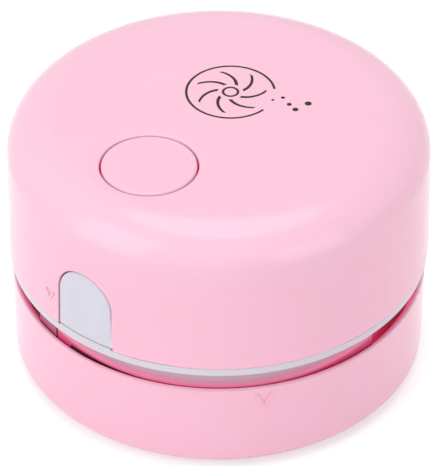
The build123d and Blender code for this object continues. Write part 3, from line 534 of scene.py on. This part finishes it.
def plated_steel(name, colour, roughness, lines=(900, 900, 4000)):
    """Metal with fine drawn lines, a few dull spots and brighter edges."""
    shader = Shader(name)
    place = shader.place()
    rounded, edges = shader.soft_edges(0.12 * MM)
    drawn = shader.noise(shader.stretch(place, lines), 1.0, detail=3)
    spots = shader.noise(place, 420, detail=4)
    tint = shader.mix(spots, shade(colour, 0.86), colour)
    tint = shader.mix(shader.math("MULTIPLY", edges, 0.5), tint, shade(colour, 1.15))
    gloss = shader.ramp(drawn, 0.3, 0.7, roughness * 0.75, roughness * 1.35)
    shader.set(
        Base_Color=tint,
        Metallic=1.0,
        Roughness=gloss,
        Normal=shader.relief(drawn, 0.003 * MM, rounded),
    )
    return shader.material


def nonwoven_cloth(name, colour):
    """Filter cloth: short fibres that lie across each other in three directions."""
    shader = Shader(name)
    place = shader.place()
    mat = None
    for turn in (0.2, 1.3, 2.4):
        fibres = shader.noise(shader.stretch(place, (5200, 420, 2600), (0, 0, turn)), 1.0, detail=2)
        line = shader.ramp(fibres, 0.52, 0.66)
        mat = line if mat is None else shader.math("MAXIMUM", mat, line)
    soiled = shader.ramp(shader.noise(place, 90, detail=4), 0.45, 0.8, 0.0, 0.25)
    tint = shader.mix(mat, shade(colour, 0.88), colour)
    tint = shader.mix(soiled, tint, shade(colour, 0.8))
    shader.set(Base_Color=tint, Roughness=0.9, Normal=shader.relief(mat, 0.08 * MM))
    shader.set(Sheen_Weight=0.3, Sheen_Roughness=0.5)
    return shader.material


def bristle_nylon(name, colour):
    """Filaments, each a little lighter or darker than the next."""
    shader = Shader(name)
    place = shader.place()
    single = shader.noise(shader.stretch(place, (9000, 9000, 60)), 1.0, detail=1)
    tint = shader.mix(single, shade(colour, 0.7), shade(colour, 1.5))
    shader.set(Base_Color=tint, Roughness=shader.ramp(single, 0.3, 0.7, 0.28, 0.45))
    return shader.material


def cell_sleeve(name, colour):
    """Shrink sleeve round a cell: two colours with a pale band, its ends left as bare metal."""
    shader = Shader(name)
    place = shader.place()
    x, y, _ = shader.parts(place)
    low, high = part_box("battery_cell_right")
    half = (high[1] - low[1]) / 2
    middle = (high[1] + low[1]) / 2
    # both cells lie along Y, the other way round: the run starts at the nub of either
    side = shader.math("SIGN", x)
    run = shader.math("ADD", y, shader.math("MULTIPLY", side, -middle))
    run = shader.math("MULTIPLY", run, side)
    dark = shader.ramp(run, -0.42 * half, -0.44 * half)
    off = shader.math("ABSOLUTE", shader.math("SUBTRACT", run, -0.39 * half))
    band = shader.ramp(off, 0.035 * half, 0.030 * half)
    flow = shader.noise(shader.stretch(place, (300, 40, 300)), 1.0, detail=2)
    green = shader.mix(flow, shade(colour, 0.9), shade(colour, 1.08))
    tint = shader.mix(dark, green, SLEEVE_BLACK)
    tint = shader.mix(band, tint, CLOTH_WHITE)
    nub_end = shader.ramp(run, 1.6 * MM - half, 1.5 * MM - half)
    flat_end = shader.ramp(run, half - 0.3 * MM, half - 0.2 * MM)
    bare = shader.math("MAXIMUM", nub_end, flat_end)
    crinkle = shader.noise(shader.stretch(place, (700, 160, 700)), 1.0, detail=3)
    rounded, _ = shader.soft_edges(0.15 * MM)
    shader.set(
        Base_Color=shader.mix(bare, tint, STEEL),
        Metallic=bare,
        Roughness=shader.ramp(crinkle, 0.3, 0.7, 0.2, 0.34),
        Normal=shader.relief(crinkle, 0.02 * MM, rounded),
    )
    return shader.material


TRACK_PITCH = 2.1 * MM


def circuit_green(name, colour):
    """Solder mask over raised copper tracks, with bare board along its cut edge."""
    shader = Shader(name)
    place = shader.place()
    x, y, _ = shader.parts(place)
    tracks = None
    for value, shift in ((x, 0.0), (y, 0.35)):
        row = shader.math("FRACT", shader.math("MULTIPLY_ADD", value, 1 / TRACK_PITCH, shift))
        off = shader.math("ABSOLUTE", shader.math("SUBTRACT", row, 0.5))
        line = shader.ramp(off, 0.16, 0.13)
        tracks = line if tracks is None else shader.math("MAXIMUM", tracks, line)
    cells = shader.node("ShaderNodeTexVoronoi", feature="F1")
    shader.feed(cells.inputs["Vector"], place)
    cells.inputs["Scale"].default_value = 190
    patch = shader.ramp(shader.parts(cells.outputs["Color"])[0], 0.45, 0.5)
    tracks = shader.math("MULTIPLY", tracks, patch)
    weave = shader.noise(shader.stretch(place, (2200, 2200, 2200)), 1.0, detail=2)
    base = shader.mix(weave, shade(colour, 0.86), shade(colour, 1.1))
    tint = shader.mix(tracks, base, BOARD_TRACE)
    rounded, edges = shader.soft_edges(0.1 * MM)
    tint = shader.mix(shader.math("MULTIPLY", edges, 0.6), tint, BOARD_CUT)
    shader.set(Base_Color=tint, Roughness=shader.ramp(weave, 0.3, 0.7, 0.24, 0.4))
    shader.set(Normal=shader.relief(tracks, 0.035 * MM, rounded))
    return shader.material


def wire_sleeve(name, live, neutral):
    """PVC sleeves: one colour on the right of the middle, the other on the left."""
    shader = Shader(name)
    place = shader.place()
    x = shader.parts(place)[0]
    side = shader.ramp(x, -0.1 * MM, 0.1 * MM)
    ripple = shader.noise(place, 1500, detail=2)
    tint = shader.mix(side, neutral, live)
    tint = shader.mix(shader.ramp(ripple, 0.5, 0.8, 0.0, 0.25), tint, shade(live, 1.2))
    shader.set(Base_Color=tint, Roughness=shader.ramp(ripple, 0.3, 0.7, 0.3, 0.45))
    shader.set(Normal=shader.relief(ripple, 0.02 * MM))
    return shader.material


def solder(name, colour):
    """Solder with a frosted skin."""
    shader = Shader(name)
    place = shader.place()
    frost = shader.noise(place, 2600, detail=3)
    shader.set(
        Base_Color=shader.mix(frost, shade(colour, 0.82), colour),
        Roughness=shader.ramp(frost, 0.3, 0.7, 0.18, 0.4),
        Metallic=1.0,
        Normal=shader.relief(frost, 0.006 * MM),
    )
    return shader.material


PINK_BUTTON = gloss_button("pink_button", SHELL_PINK)
PRINTED_SHELL = printed_shell("printed_pink_shell", SHELL_PINK)
PINK_BIN = painted_glow_bin("pink_bin", SHELL_PINK)
GREY = soft_gloss("pale_grey", PALE_GREY)
TAB_GREY = tab_with_painted_edge_light("tab_grey", PALE_GREY)
RING_GREY = neck_painted_light("ring_grey", RING_PALE)
HOUSING = matte_plastic("housing_white", HOUSING_WHITE)
NYLON = matte_plastic("motor_nylon", NYLON_CREAM)
SWITCH = matte_plastic("switch_black", SWITCH_BLACK)
FEET = rubber("black_rubber", RUBBER_BLACK)
SEAL = rubber("seal_rubber", SEAL_GREY)
CLOTH = nonwoven_cloth("filter_fabric", CLOTH_WHITE)
BRISTLE = bristle_nylon("bristle", BRISTLE_DARK)
SCREW_STEEL = plated_steel("screw_steel", STEEL, 0.32)
CAN_STEEL = plated_steel("can_steel", STEEL, 0.30, (250, 250, 7000))
SPRING_STEEL = plated_steel("spring_steel", BRIGHT_STEEL, 0.2, (2500, 2500, 2500))
TINNED = plated_steel("tinned_brass", TIN, 0.3, (3000, 3000, 3000))
SLEEVE = cell_sleeve("cell_sleeve", SLEEVE_GREEN)
BOARD = circuit_green("board_green", BOARD_GREEN)
WIRE = wire_sleeve("wire_sleeve", WIRE_RED, WIRE_BLACK)
SOLDERED = solder("solder", SOLDER)

CARRIED_OVER = {
    "top_shell": PRINTED_SHELL,
    "power_button": PINK_BUTTON,
    "dust_bin": PINK_BIN,
    "release_tab": TAB_GREY,
    "waist_ring": RING_GREY,
    "nozzle_plate": GREY,
    "filter_frame": GREY,
    "fan_guard": GREY,
    "fan_housing": HOUSING,
    "impeller": HOUSING,
    "motor_end_cap": NYLON,
    "switch_plunger": NYLON,
    "switch_body": SWITCH,
    "rubber_feet": FEET,
    "filter_seal": SEAL,
    "filter_cloth": CLOTH,
    "bristle_tufts": BRISTLE,
    "nozzle_screws": SCREW_STEEL,
    "housing_screws": SCREW_STEEL,
    "board_screws": SCREW_STEEL,
    "motor_shaft": SCREW_STEEL,
    "motor_can": CAN_STEEL,
    "contact_bridge": SPRING_STEEL,
    "contact_tabs": SPRING_STEEL,
    "contact_springs": SPRING_STEEL,
    "button_spring": SPRING_STEEL,
    "tab_spring": SPRING_STEEL,
    "motor_terminals": TINNED,
    "battery_cell_left": SLEEVE,
    "battery_cell_right": SLEEVE,
    "circuit_board": BOARD,
    "motor_wires": WIRE,
    "battery_wires": WIRE,
}

for name, material in CARRIED_OVER.items():
    for material_slot in nodes[name].material_slots:
        material_slot.material = material


# ---------------------------------------------------------------------------
# Mesh building
# ---------------------------------------------------------------------------


FILAMENT_SIDES = 6
# the six sides of a box whose corners run through Z first, then Y, then X
BLOCK_QUADS = (
    (0, 1, 3, 2),
    (4, 6, 7, 5),
    (0, 4, 5, 1),
    (2, 3, 7, 6),
    (0, 2, 6, 4),
    (1, 5, 7, 3),
)


class Form:
    """A mesh that is put together from rods, turned profiles and boxes, in millimetres."""

    def __init__(self):
        self.mesh = bmesh.new()

    def ring(self, points):
        """Vertices at points, in order."""
        return [self.mesh.verts.new(Vector(point) * MM) for point in points]

    def band(self, first, second):
        """Smooth quads between two rings of the same count."""
        count = len(first)
        for i in range(count):
            j = (i + 1) % count
            face = self.mesh.faces.new((first[i], first[j], second[j], second[i]))
            face.smooth = True

    def cap(self, ring, flip=False):
        """One face over a ring."""
        self.mesh.faces.new(list(reversed(ring)) if flip else ring)

    def filament(self, points, radii):
        """Thin closed rod along nearly upright points."""
        rings = []
        for (x, y, z), radius in zip(points, radii):
            rings.append(
                self.ring(
                    (
                        x + radius * math.cos(math.tau * k / FILAMENT_SIDES),
                        y + radius * math.sin(math.tau * k / FILAMENT_SIDES),
                        z,
                    )
                    for k in range(FILAMENT_SIDES)
                )
            )
        for first, second in zip(rings, rings[1:]):
            self.band(first, second)
        self.cap(rings[0], flip=True)
        self.cap(rings[-1])

    def turned(self, profile, sides, at=(0, 0), closed=False, squeeze=(1, 1)):
        """Profile of (radius, level) pairs turned round an upright axis."""
        rings = []
        for radius, level in profile:
            rings.append(
                self.ring(
                    (
                        at[0] + squeeze[0] * radius * math.cos(math.tau * k / sides),
                        at[1] + squeeze[1] * radius * math.sin(math.tau * k / sides),
                        level,
                    )
                    for k in range(sides)
                )
            )
        for first, second in zip(rings, rings[1:]):
            self.band(first, second)
        if closed:
            self.band(rings[-1], rings[0])
        else:
            self.cap(rings[0], flip=True)
            self.cap(rings[-1])

    def block(self, low, high, bevel, index=0):
        """Box with bevelled edges."""
        corners = self.ring(itertools.product(*zip(low, high)))
        faces = []
        for quad in BLOCK_QUADS:
            face = self.mesh.faces.new([corners[k] for k in quad])
            face.material_index = index
            faces.append(face)
        edges = list({edge for face in faces for edge in face.edges})
        bmesh.ops.bevel(
            self.mesh,
            geom=edges,
            offset=bevel * MM,
            segments=2,
            profile=0.5,
            affect="EDGES",
            material=index,
        )

    def piece(self, name, materials, body):
        """Close the form as a piece that rides on a body."""
        bmesh.ops.recalc_face_normals(self.mesh, faces=self.mesh.faces)
        mesh = bpy.data.meshes.new(name)
        self.mesh.to_mesh(mesh)
        self.mesh.free()
        for material in materials:
            mesh.materials.append(material)
        made = bpy.data.objects.new(name, mesh)
        bpy.context.scene.collection.objects.link(made)
        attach(made, body)
        return made


# ---------------------------------------------------------------------------
# Pieces that stand for soft solids
# ---------------------------------------------------------------------------

TUFT_PITCH = 4.2
TUFT_COUNT = 9
TUFT_Y = 7.1
TUFT_R = 0.9
TUFT_ROOT = 2.6
TUFT_TIP = 0.3
FILAMENTS = 30
FILAMENT_R = 0.085
GOLDEN_ANGLE = 2.39996
ROOT_BUNDLE = 0.86
FILAMENT_STATIONS = (0.0, 0.35, 0.7, 1.0)
FILAMENT_TAPER = (1.0, 1.0, 0.95, 0.6)


def make_bristles():
    """Tufts of nylon filaments, bound at the root and a little splayed at the tips."""
    draw = random.Random(11)
    form = Form()
    radii = [FILAMENT_R * share for share in FILAMENT_TAPER]
    for side in (-1, 1):
        for column in range(TUFT_COUNT):
            middle = Vector(((column - (TUFT_COUNT - 1) / 2) * TUFT_PITCH, side * TUFT_Y, 0))
            for k in range(FILAMENTS):
                reach = (TUFT_R - 2 * FILAMENT_R) * math.sqrt((k + 0.5) / FILAMENTS)
                angle = GOLDEN_ANGLE * k + column
                out = Vector((reach * math.cos(angle), reach * math.sin(angle), 0))
                root = middle + ROOT_BUNDLE * out
                tip = middle + (1.0 + draw.uniform(0.0, 0.14)) * out
                tip.x += draw.uniform(-0.06, 0.06)
                tip.y += draw.uniform(-0.06, 0.06)
                tip_z = TUFT_TIP + draw.uniform(0.0, 0.28)
                points = [root.lerp(tip, t * t * (3 - 2 * t)) for t in FILAMENT_STATIONS]
                for point, t in zip(points, FILAMENT_STATIONS):
                    point.z = TUFT_ROOT + (tip_z - TUFT_ROOT) * t
                form.filament(points, radii)
    made = form.piece("bristle_filaments", [BRISTLE], "bin")
    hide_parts("bristle_tufts")


# the cup: outer radius, floor and hem levels, and thickness
CLOTH_R = 33.24
CLOTH_Z = 18.2
CLOTH_TOP = 25.7
CLOTH_T = 0.8
SPOKES = 6
PLEATS = 60
PLEAT_DEPTH = 0.55
SWELL = 0.85
WELD = (0.87, 0.93)
WELD_DEPTH = 0.3
STITCHES = 120
CLOTH_SIDES = 360
FLOOR_RADII = (1, 3, 6, 9, 12, 15, 18, 21, 24, 26.5, 28.5, 29.5, 30.5, 31.4)
FLOOR_RADII_INSIDE = (30.6, 30.2, 29.8, 29.4, 29.0, 28.2, 26.5, 24, 21, 18, 15, 12, 9, 6, 3, 1)


def cloth_point(radius, level, angle, inner):
    """Where a point of the cup goes once it is pleated, swollen and welded."""
    wall = min(1.0, max(0.0, (radius - 0.86 * CLOTH_R) / (0.1 * CLOTH_R)))
    floor = min(1.0, max(0.0, (CLOTH_Z + 2.2 - level) / 1.0))
    # pleats run up the wall and die out at its hem and on the floor
    rise = (level - CLOTH_Z) / (CLOTH_TOP - CLOTH_Z)
    pleat = 0.5 - 0.5 * math.cos(PLEATS * angle)
    fold = wall * max(0.0, math.sin(math.pi * min(1.0, max(0.0, rise)))) ** 0.7
    radius -= PLEAT_DEPTH * fold * pleat
    # the air pulls the floor up between the spokes, and the weld holds it down
    between = abs(math.sin(SPOKES / 2 * angle)) ** 0.8
    share = radius / CLOTH_R
    weld_in, weld_out = WELD
    swell = max(0.0, math.sin(math.pi * min(1.0, share / weld_in))) * between
    level += floor * SWELL * swell
    if weld_in < share < weld_out and inner:
        stitch = 0.5 + 0.5 * math.cos(STITCHES * angle)
        across = math.sin(math.pi * (share - weld_in) / (weld_out - weld_in))
        level -= floor * WELD_DEPTH * across * (0.4 + 0.6 * stitch)
    return (radius * math.cos(angle), radius * math.sin(angle), level)


def make_filter():
    """Nonwoven cup: a floor that swells between the spokes, pleated wall, and a rolled hem."""
    outer = [(radius, CLOTH_Z) for radius in FLOOR_RADII]
    for step in range(1, 6):
        bend = math.pi / 2 * step / 5
        outer.append((CLOTH_R - 1.5 + 1.5 * math.sin(bend), CLOTH_Z + 1.5 - 1.5 * math.cos(bend)))
    outer += [(CLOTH_R, level) for level in (20.7, 21.7, 22.7, 23.7, 24.5)]
    hem = [(CLOTH_R, 25.2), (CLOTH_R - 0.12, 25.55), (CLOTH_R - 0.4, CLOTH_TOP)]
    hem += [(CLOTH_R - 0.72, 25.5), (CLOTH_R - 0.98, 25.0), (CLOTH_R - 1.0, 24.6)]
    inner = [(CLOTH_R - CLOTH_T, level) for level in (24.3, 23.7, 22.7, 21.7, 20.9)]
    for step in range(1, 5):
        bend = math.pi / 2 * (1 - step / 4)
        inner.append((CLOTH_R - 2.0 + 1.2 * math.sin(bend), CLOTH_Z + 2.0 - 1.2 * math.cos(bend)))
    inner += [(radius, CLOTH_Z + CLOTH_T) for radius in FLOOR_RADII_INSIDE]
    form = Form()
    rings = []
    for part, is_inner in ((outer, False), (hem, False), (inner, True)):
        for radius, level in part:
            rings.append(
                form.ring(
                    cloth_point(radius, level, math.tau * k / CLOTH_SIDES, is_inner)
                    for k in range(CLOTH_SIDES)
                )
            )
    for first, second in zip(rings, rings[1:]):
        form.band(first, second)
    form.cap(rings[0], flip=True)
    form.cap(rings[-1])
    made = form.piece("filter_cup", [CLOTH], "filter")
    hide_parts("filter_cloth")


SEAL_IN, SEAL_OUT = 34.59, 36.49
SEAL_LOW, SEAL_HIGH = 24.0, 24.8


def make_seal():
    """Soft ring with rounded edges, a groove round its inside and two ribs underneath."""
    mid = (SEAL_LOW + SEAL_HIGH) / 2
    profile = [
        (SEAL_IN + 0.02, SEAL_LOW + 0.16),
        (SEAL_IN + 0.16, SEAL_LOW + 0.02),
        (SEAL_IN + 0.5, SEAL_LOW),
        (SEAL_IN + 0.72, SEAL_LOW + 0.18),
        (SEAL_IN + 0.95, SEAL_LOW + 0.22),
        (SEAL_OUT - 0.72, SEAL_LOW + 0.18),
        (SEAL_OUT - 0.5, SEAL_LOW),
        (SEAL_OUT - 0.16, SEAL_LOW + 0.02),
        (SEAL_OUT - 0.01, SEAL_LOW + 0.16),
        (SEAL_OUT - 0.01, SEAL_HIGH - 0.16),
        (SEAL_OUT - 0.16, SEAL_HIGH - 0.01),
        (SEAL_IN + 0.16, SEAL_HIGH - 0.01),
        (SEAL_IN + 0.02, SEAL_HIGH - 0.16),
        (SEAL_IN + 0.05, mid + 0.12),
        (SEAL_IN + 0.2, mid),
        (SEAL_IN + 0.05, mid - 0.12),
    ]
    form = Form()
    form.turned(profile, 240, closed=True)
    made = form.piece("lipped_seal", [SEAL], "filter")
    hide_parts("filter_seal")


# ---------------------------------------------------------------------------
# Details on the fan unit, seen with the cover off
# ---------------------------------------------------------------------------

BOARD_TOP = 44.6
MOTOR_LANDING = (8.9, -14.4)
BATTERY_LANDING = (11.3, -26.95)
TERMINAL = (8.9, -5.5, 47.8)

# profiles of (radius, height) pairs
SOLDER_CONE = (
    (1.15, 0.0),
    (1.1, 0.08),
    (0.88, 0.22),
    (0.72, 0.42),
    (0.62, 0.7),
    (0.56, 0.95),
    (0.5, 1.05),
)
SOLDER_DROP = (
    (0.3, -0.85),
    (0.62, -0.7),
    (0.86, -0.4),
    (0.95, -0.05),
    (0.88, 0.3),
    (0.7, 0.55),
    (0.52, 0.7),
)


def make_joints():
    """Solder: cones where the wires land on the board, and drops over the motor's tabs."""
    form = Form()
    for side in (-1, 1):
        for x, y in (MOTOR_LANDING, BATTERY_LANDING):
            form.turned([(r, BOARD_TOP + h) for r, h in SOLDER_CONE], 24, (side * x, y))
        x, y, z = TERMINAL
        drop = [(r, z + h) for r, h in SOLDER_DROP]
        form.turned(drop, 24, (side * x, y), squeeze=(1.15, 0.75))
    form.piece("solder_joints", [SOLDERED], "power_unit")


CHIPS = (
    # x, y, half length, half width, height, whether it lies along X
    (-8.2, -18.2, 1.0, 0.62, 0.5, True),
    (-8.2, -20.6, 1.0, 0.62, 0.5, True),
    (-8.2, -23.0, 1.0, 0.62, 0.5, True),
    (8.0, -18.6, 1.6, 0.8, 0.95, False),
    (7.6, -23.4, 1.3, 0.85, 1.1, True),
)


def make_chips():
    """Small parts on the board: a body between two tinned ends, each with a solder fillet."""
    form = Form()
    for x, y, half_l, half_w, height, along_x in CHIPS:
        z = BOARD_TOP
        end = 0.28 * half_l

        def span(low, high, width):
            """Low and high corners of a box that runs along the part."""
            if along_x:
                return (x + low, y - width), (x + high, y + width)
            return (x - width, y + low), (x + width, y + high)

        low, high = span(-half_l + 0.7 * end, half_l - 0.7 * end, half_w)
        form.block((*low, z + 0.06), (*high, z + height), 0.06)
        for side in (-1, 1):
            inner, outer = sorted((side * (half_l - end), side * half_l))
            low, high = span(inner, outer, half_w + 0.02)
            form.block((*low, z + 0.02), (*high, z + height - 0.04), 0.05, index=1)
            inner, outer = sorted((side * (half_l - 0.1), side * (half_l + 0.35)))
            low, high = span(inner, outer, half_w - 0.1)
            form.block((*low, z), (*high, z + 0.4 * height), 0.16 * height, index=1)
    form.piece("board_chips", [SWITCH, SOLDERED], "power_unit")


# ---------------------------------------------------------------------------
# Springs
# ---------------------------------------------------------------------------

SPRING_WIRE = 0.25
STEPS_PER_TURN = 48
WIRE_SIDES = 10
END_TURNS = 0.7
BUTTON_COIL_TURNS = 3.4
TAB_COIL_TURNS = 4.4


def coil(name, seat, axis, side, coil_r, length, turns, body):
    """Coil with closed ends, which rides on a body.

    It stands on seat, the pressed end, along axis; side is a direction across it.
    """
    seat, axis, side = Vector(seat), Vector(axis), Vector(side)
    across = axis.cross(side)
    rise = length - 2 * SPRING_WIRE
    form = Form()
    rings = []
    for step in range(int(turns * STEPS_PER_TURN) + 1):
        turned = step / STEPS_PER_TURN
        share = min(1.0, max(0.0, (turned - END_TURNS) / (turns - 2 * END_TURNS)))
        height = SPRING_WIRE + rise * share
        out = side * math.cos(math.tau * turned) + across * math.sin(math.tau * turned)
        middle = seat + axis * height + out * coil_r
        points = []
        for k in range(WIRE_SIDES):
            angle = math.tau * k / WIRE_SIDES
            skin = out * math.cos(angle) + axis * math.sin(angle)
            points.append(middle + SPRING_WIRE * skin)
        rings.append(form.ring(points))
    for first, second in zip(rings, rings[1:]):
        form.band(first, second)
    form.cap(rings[0], flip=True)
    form.cap(rings[-1])
    made = form.piece(name, [SPRING_STEEL], body)
    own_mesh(made)
    return made


def make_springs():
    """Return springs under the button and behind the tab."""
    low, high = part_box("button_spring")
    radius = (high[0] - low[0]) / 2 / MM - SPRING_WIRE
    place = (0, (low[1] + high[1]) / 2 / MM, high[2] / MM)
    length = (high[2] - low[2]) / MM
    under_button = coil(
        "button_coil",
        place,
        (0, 0, -1),
        (1, 0, 0),
        radius,
        length,
        BUTTON_COIL_TURNS,
        "button",
    )
    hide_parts("button_spring")
    low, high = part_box("tab_spring")
    radius = (high[0] - low[0]) / 2 / MM - SPRING_WIRE
    place = (0, low[1] / MM, (low[2] + high[2]) / 2 / MM)
    length = (high[1] - low[1]) / MM
    behind_tab = coil(
        "tab_coil",
        place,
        (0, 1, 0),
        (1, 0, 0),
        radius,
        length,
        TAB_COIL_TURNS,
        "release_tab",
    )
    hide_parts("tab_spring")


make_bristles()
make_filter()
make_seal()
make_joints()
make_chips()
make_springs()


# ---------------------------------------------------------------------------
# Camera
# ---------------------------------------------------------------------------

AZIMUTH = math.radians(38.2)
ELEVATION = math.radians(38.12)
LOOK_LEVEL = 32 * MM
DISTANCE = 600 * MM
AIM_LEFT = 0.38 * MM
AIM_DOWN = 4.11 * MM
# focal length and the longer side of the picture, both in pixels of the photo
FOCAL_PIXELS = 2902.08
FRAME_PIXELS = 466
SENSOR = 36
CLIP_END = 10

back = Vector(
    (
        math.sin(AZIMUTH) * math.cos(ELEVATION),
        -math.cos(AZIMUTH) * math.cos(ELEVATION),
        math.sin(ELEVATION),
    )
)
right = Vector((math.cos(AZIMUTH), math.sin(AZIMUTH), 0))
up = back.cross(right)
centre = Vector((0, 0, LOOK_LEVEL))


def link(obj):
    """Put an object into the scene."""
    bpy.context.scene.collection.objects.link(obj)
    return obj


def aim_at(obj, target):
    """Turn a camera or lamp so that it looks at a point."""
    obj.rotation_mode = "QUATERNION"
    obj.rotation_quaternion = (obj.location - target).to_track_quat("Z", "Y")


camera_data = bpy.data.cameras.new("camera")
camera = link(bpy.data.objects.new("camera", camera_data))
camera.location = centre + DISTANCE * back
aim_at(camera, centre - AIM_LEFT * right - AIM_DOWN * up)
camera_data.sensor_width = SENSOR
camera_data.lens = FOCAL_PIXELS * SENSOR / FRAME_PIXELS
camera_data.clip_end = CLIP_END
bpy.context.scene.camera = camera

# ---------------------------------------------------------------------------
# Floor, world and lamps
# ---------------------------------------------------------------------------

FLOOR_HALF = 1.5
FLOOR_ALBEDO = 0.82
FLOOR_LIFT = 0.45
WORLD_LIGHT = 0.5
WHITE = (1, 1, 1, 1)


def seen_directly(shader):
    """1 for rays from the camera, and for those that gloss and glass send on."""
    rays = shader.node("ShaderNodeLightPath").outputs
    glossy = shader.math("MAXIMUM", rays["Is Camera Ray"], rays["Is Glossy Ray"])
    return shader.math("MAXIMUM", glossy, rays["Is Transmission Ray"])


def floor_material():
    """Pale floor that reads as white where no shadow falls on it."""
    shader = Shader("pale_floor")
    grain = shader.noise(shader.place(), 300, detail=2)
    shader.set(
        Base_Color=(FLOOR_ALBEDO, FLOOR_ALBEDO, FLOOR_ALBEDO, 1),
        Roughness=shader.ramp(grain, 0.3, 0.7, 0.85, 0.95),
        Specular_IOR_Level=0.0,
        Emission_Color=WHITE,
        Emission_Strength=shader.math("MULTIPLY", seen_directly(shader), FLOOR_LIFT),
    )
    # clear from below, so that the underside can be looked at
    one_sided = shader.node("ShaderNodeMixShader")
    shader.feed(one_sided.inputs[0], shader.node("ShaderNodeNewGeometry").outputs["Backfacing"])
    shader.feed(one_sided.inputs[1], shader.surface.outputs[0])
    shader.feed(one_sided.inputs[2], shader.node("ShaderNodeBsdfTransparent").outputs[0])
    shader.feed(shader.tree.nodes["Material Output"].inputs["Surface"], one_sided.outputs[0])
    return shader.material


def make_floor():
    """Floor under the object, which is no part of it."""
    mesh = bpy.data.meshes.new("floor")
    grid = bmesh.new()
    bmesh.ops.create_grid(grid, x_segments=1, y_segments=1, size=FLOOR_HALF)
    grid.to_mesh(mesh)
    grid.free()
    mesh.materials.append(floor_material())
    link(bpy.data.objects.new("floor", mesh))


def make_world():
    """Even studio light, with white behind whatever is seen directly."""
    world = bpy.data.worlds.new("studio")
    world.use_nodes = True
    bpy.context.scene.world = world
    tree = world.node_tree
    rays = tree.nodes.new("ShaderNodeLightPath").outputs
    seen = rays["Is Camera Ray"]
    for kind in ("Is Glossy Ray", "Is Transmission Ray"):
        either = tree.nodes.new("ShaderNodeMath")
        either.operation = "MAXIMUM"
        tree.links.new(seen, either.inputs[0])
        tree.links.new(rays[kind], either.inputs[1])
        seen = either.outputs[0]
    strength = tree.nodes.new("ShaderNodeMapRange")
    tree.links.new(seen, strength.inputs["Value"])
    strength.inputs["To Min"].default_value = WORLD_LIGHT
    strength.inputs["To Max"].default_value = 1.0
    background = tree.nodes["Background"]
    background.inputs["Color"].default_value = WHITE
    tree.links.new(strength.outputs[0], background.inputs["Strength"])


LAMP_DISTANCE = 0.9
LAMPS = (
    # name, degrees to the right of the camera, degrees above level, width, height,
    # radiance, shape
    ("overhead", 172, 80, 0.68, 0.68, 2.38, "ELLIPSE"),
    ("left_box", -57, 27, 0.6, 0.95, 1.95, "RECTANGLE"),
    ("right_box", 46, 20, 0.56, 0.62, 1.5, "RECTANGLE"),
)


def direction(turn, rise):
    """Unit vector towards a lamp: degrees to the right of the camera, and above level."""
    a = AZIMUTH + math.radians(turn)
    e = math.radians(rise)
    return Vector((math.sin(a) * math.cos(e), -math.cos(a) * math.cos(e), math.sin(e)))


def softbox(name, way, width, height, radiance, shape):
    """Area lamp that is as bright as a lit panel of that radiance."""
    data = bpy.data.lights.new(name, "AREA")
    data.shape = shape
    data.size = width
    data.size_y = height
    area = width * height * (math.pi / 4 if shape == "ELLIPSE" else 1)
    data.energy = radiance * math.pi * area
    lamp = link(bpy.data.objects.new(name, data))
    lamp.location = centre + way * LAMP_DISTANCE
    aim_at(lamp, centre)


make_floor()
make_world()
for name, turn, rise, width, height, radiance, shape in LAMPS:
    softbox(name, direction(turn, rise), width, height, radiance, shape)

bpy.context.scene.view_settings.view_transform = "Standard"
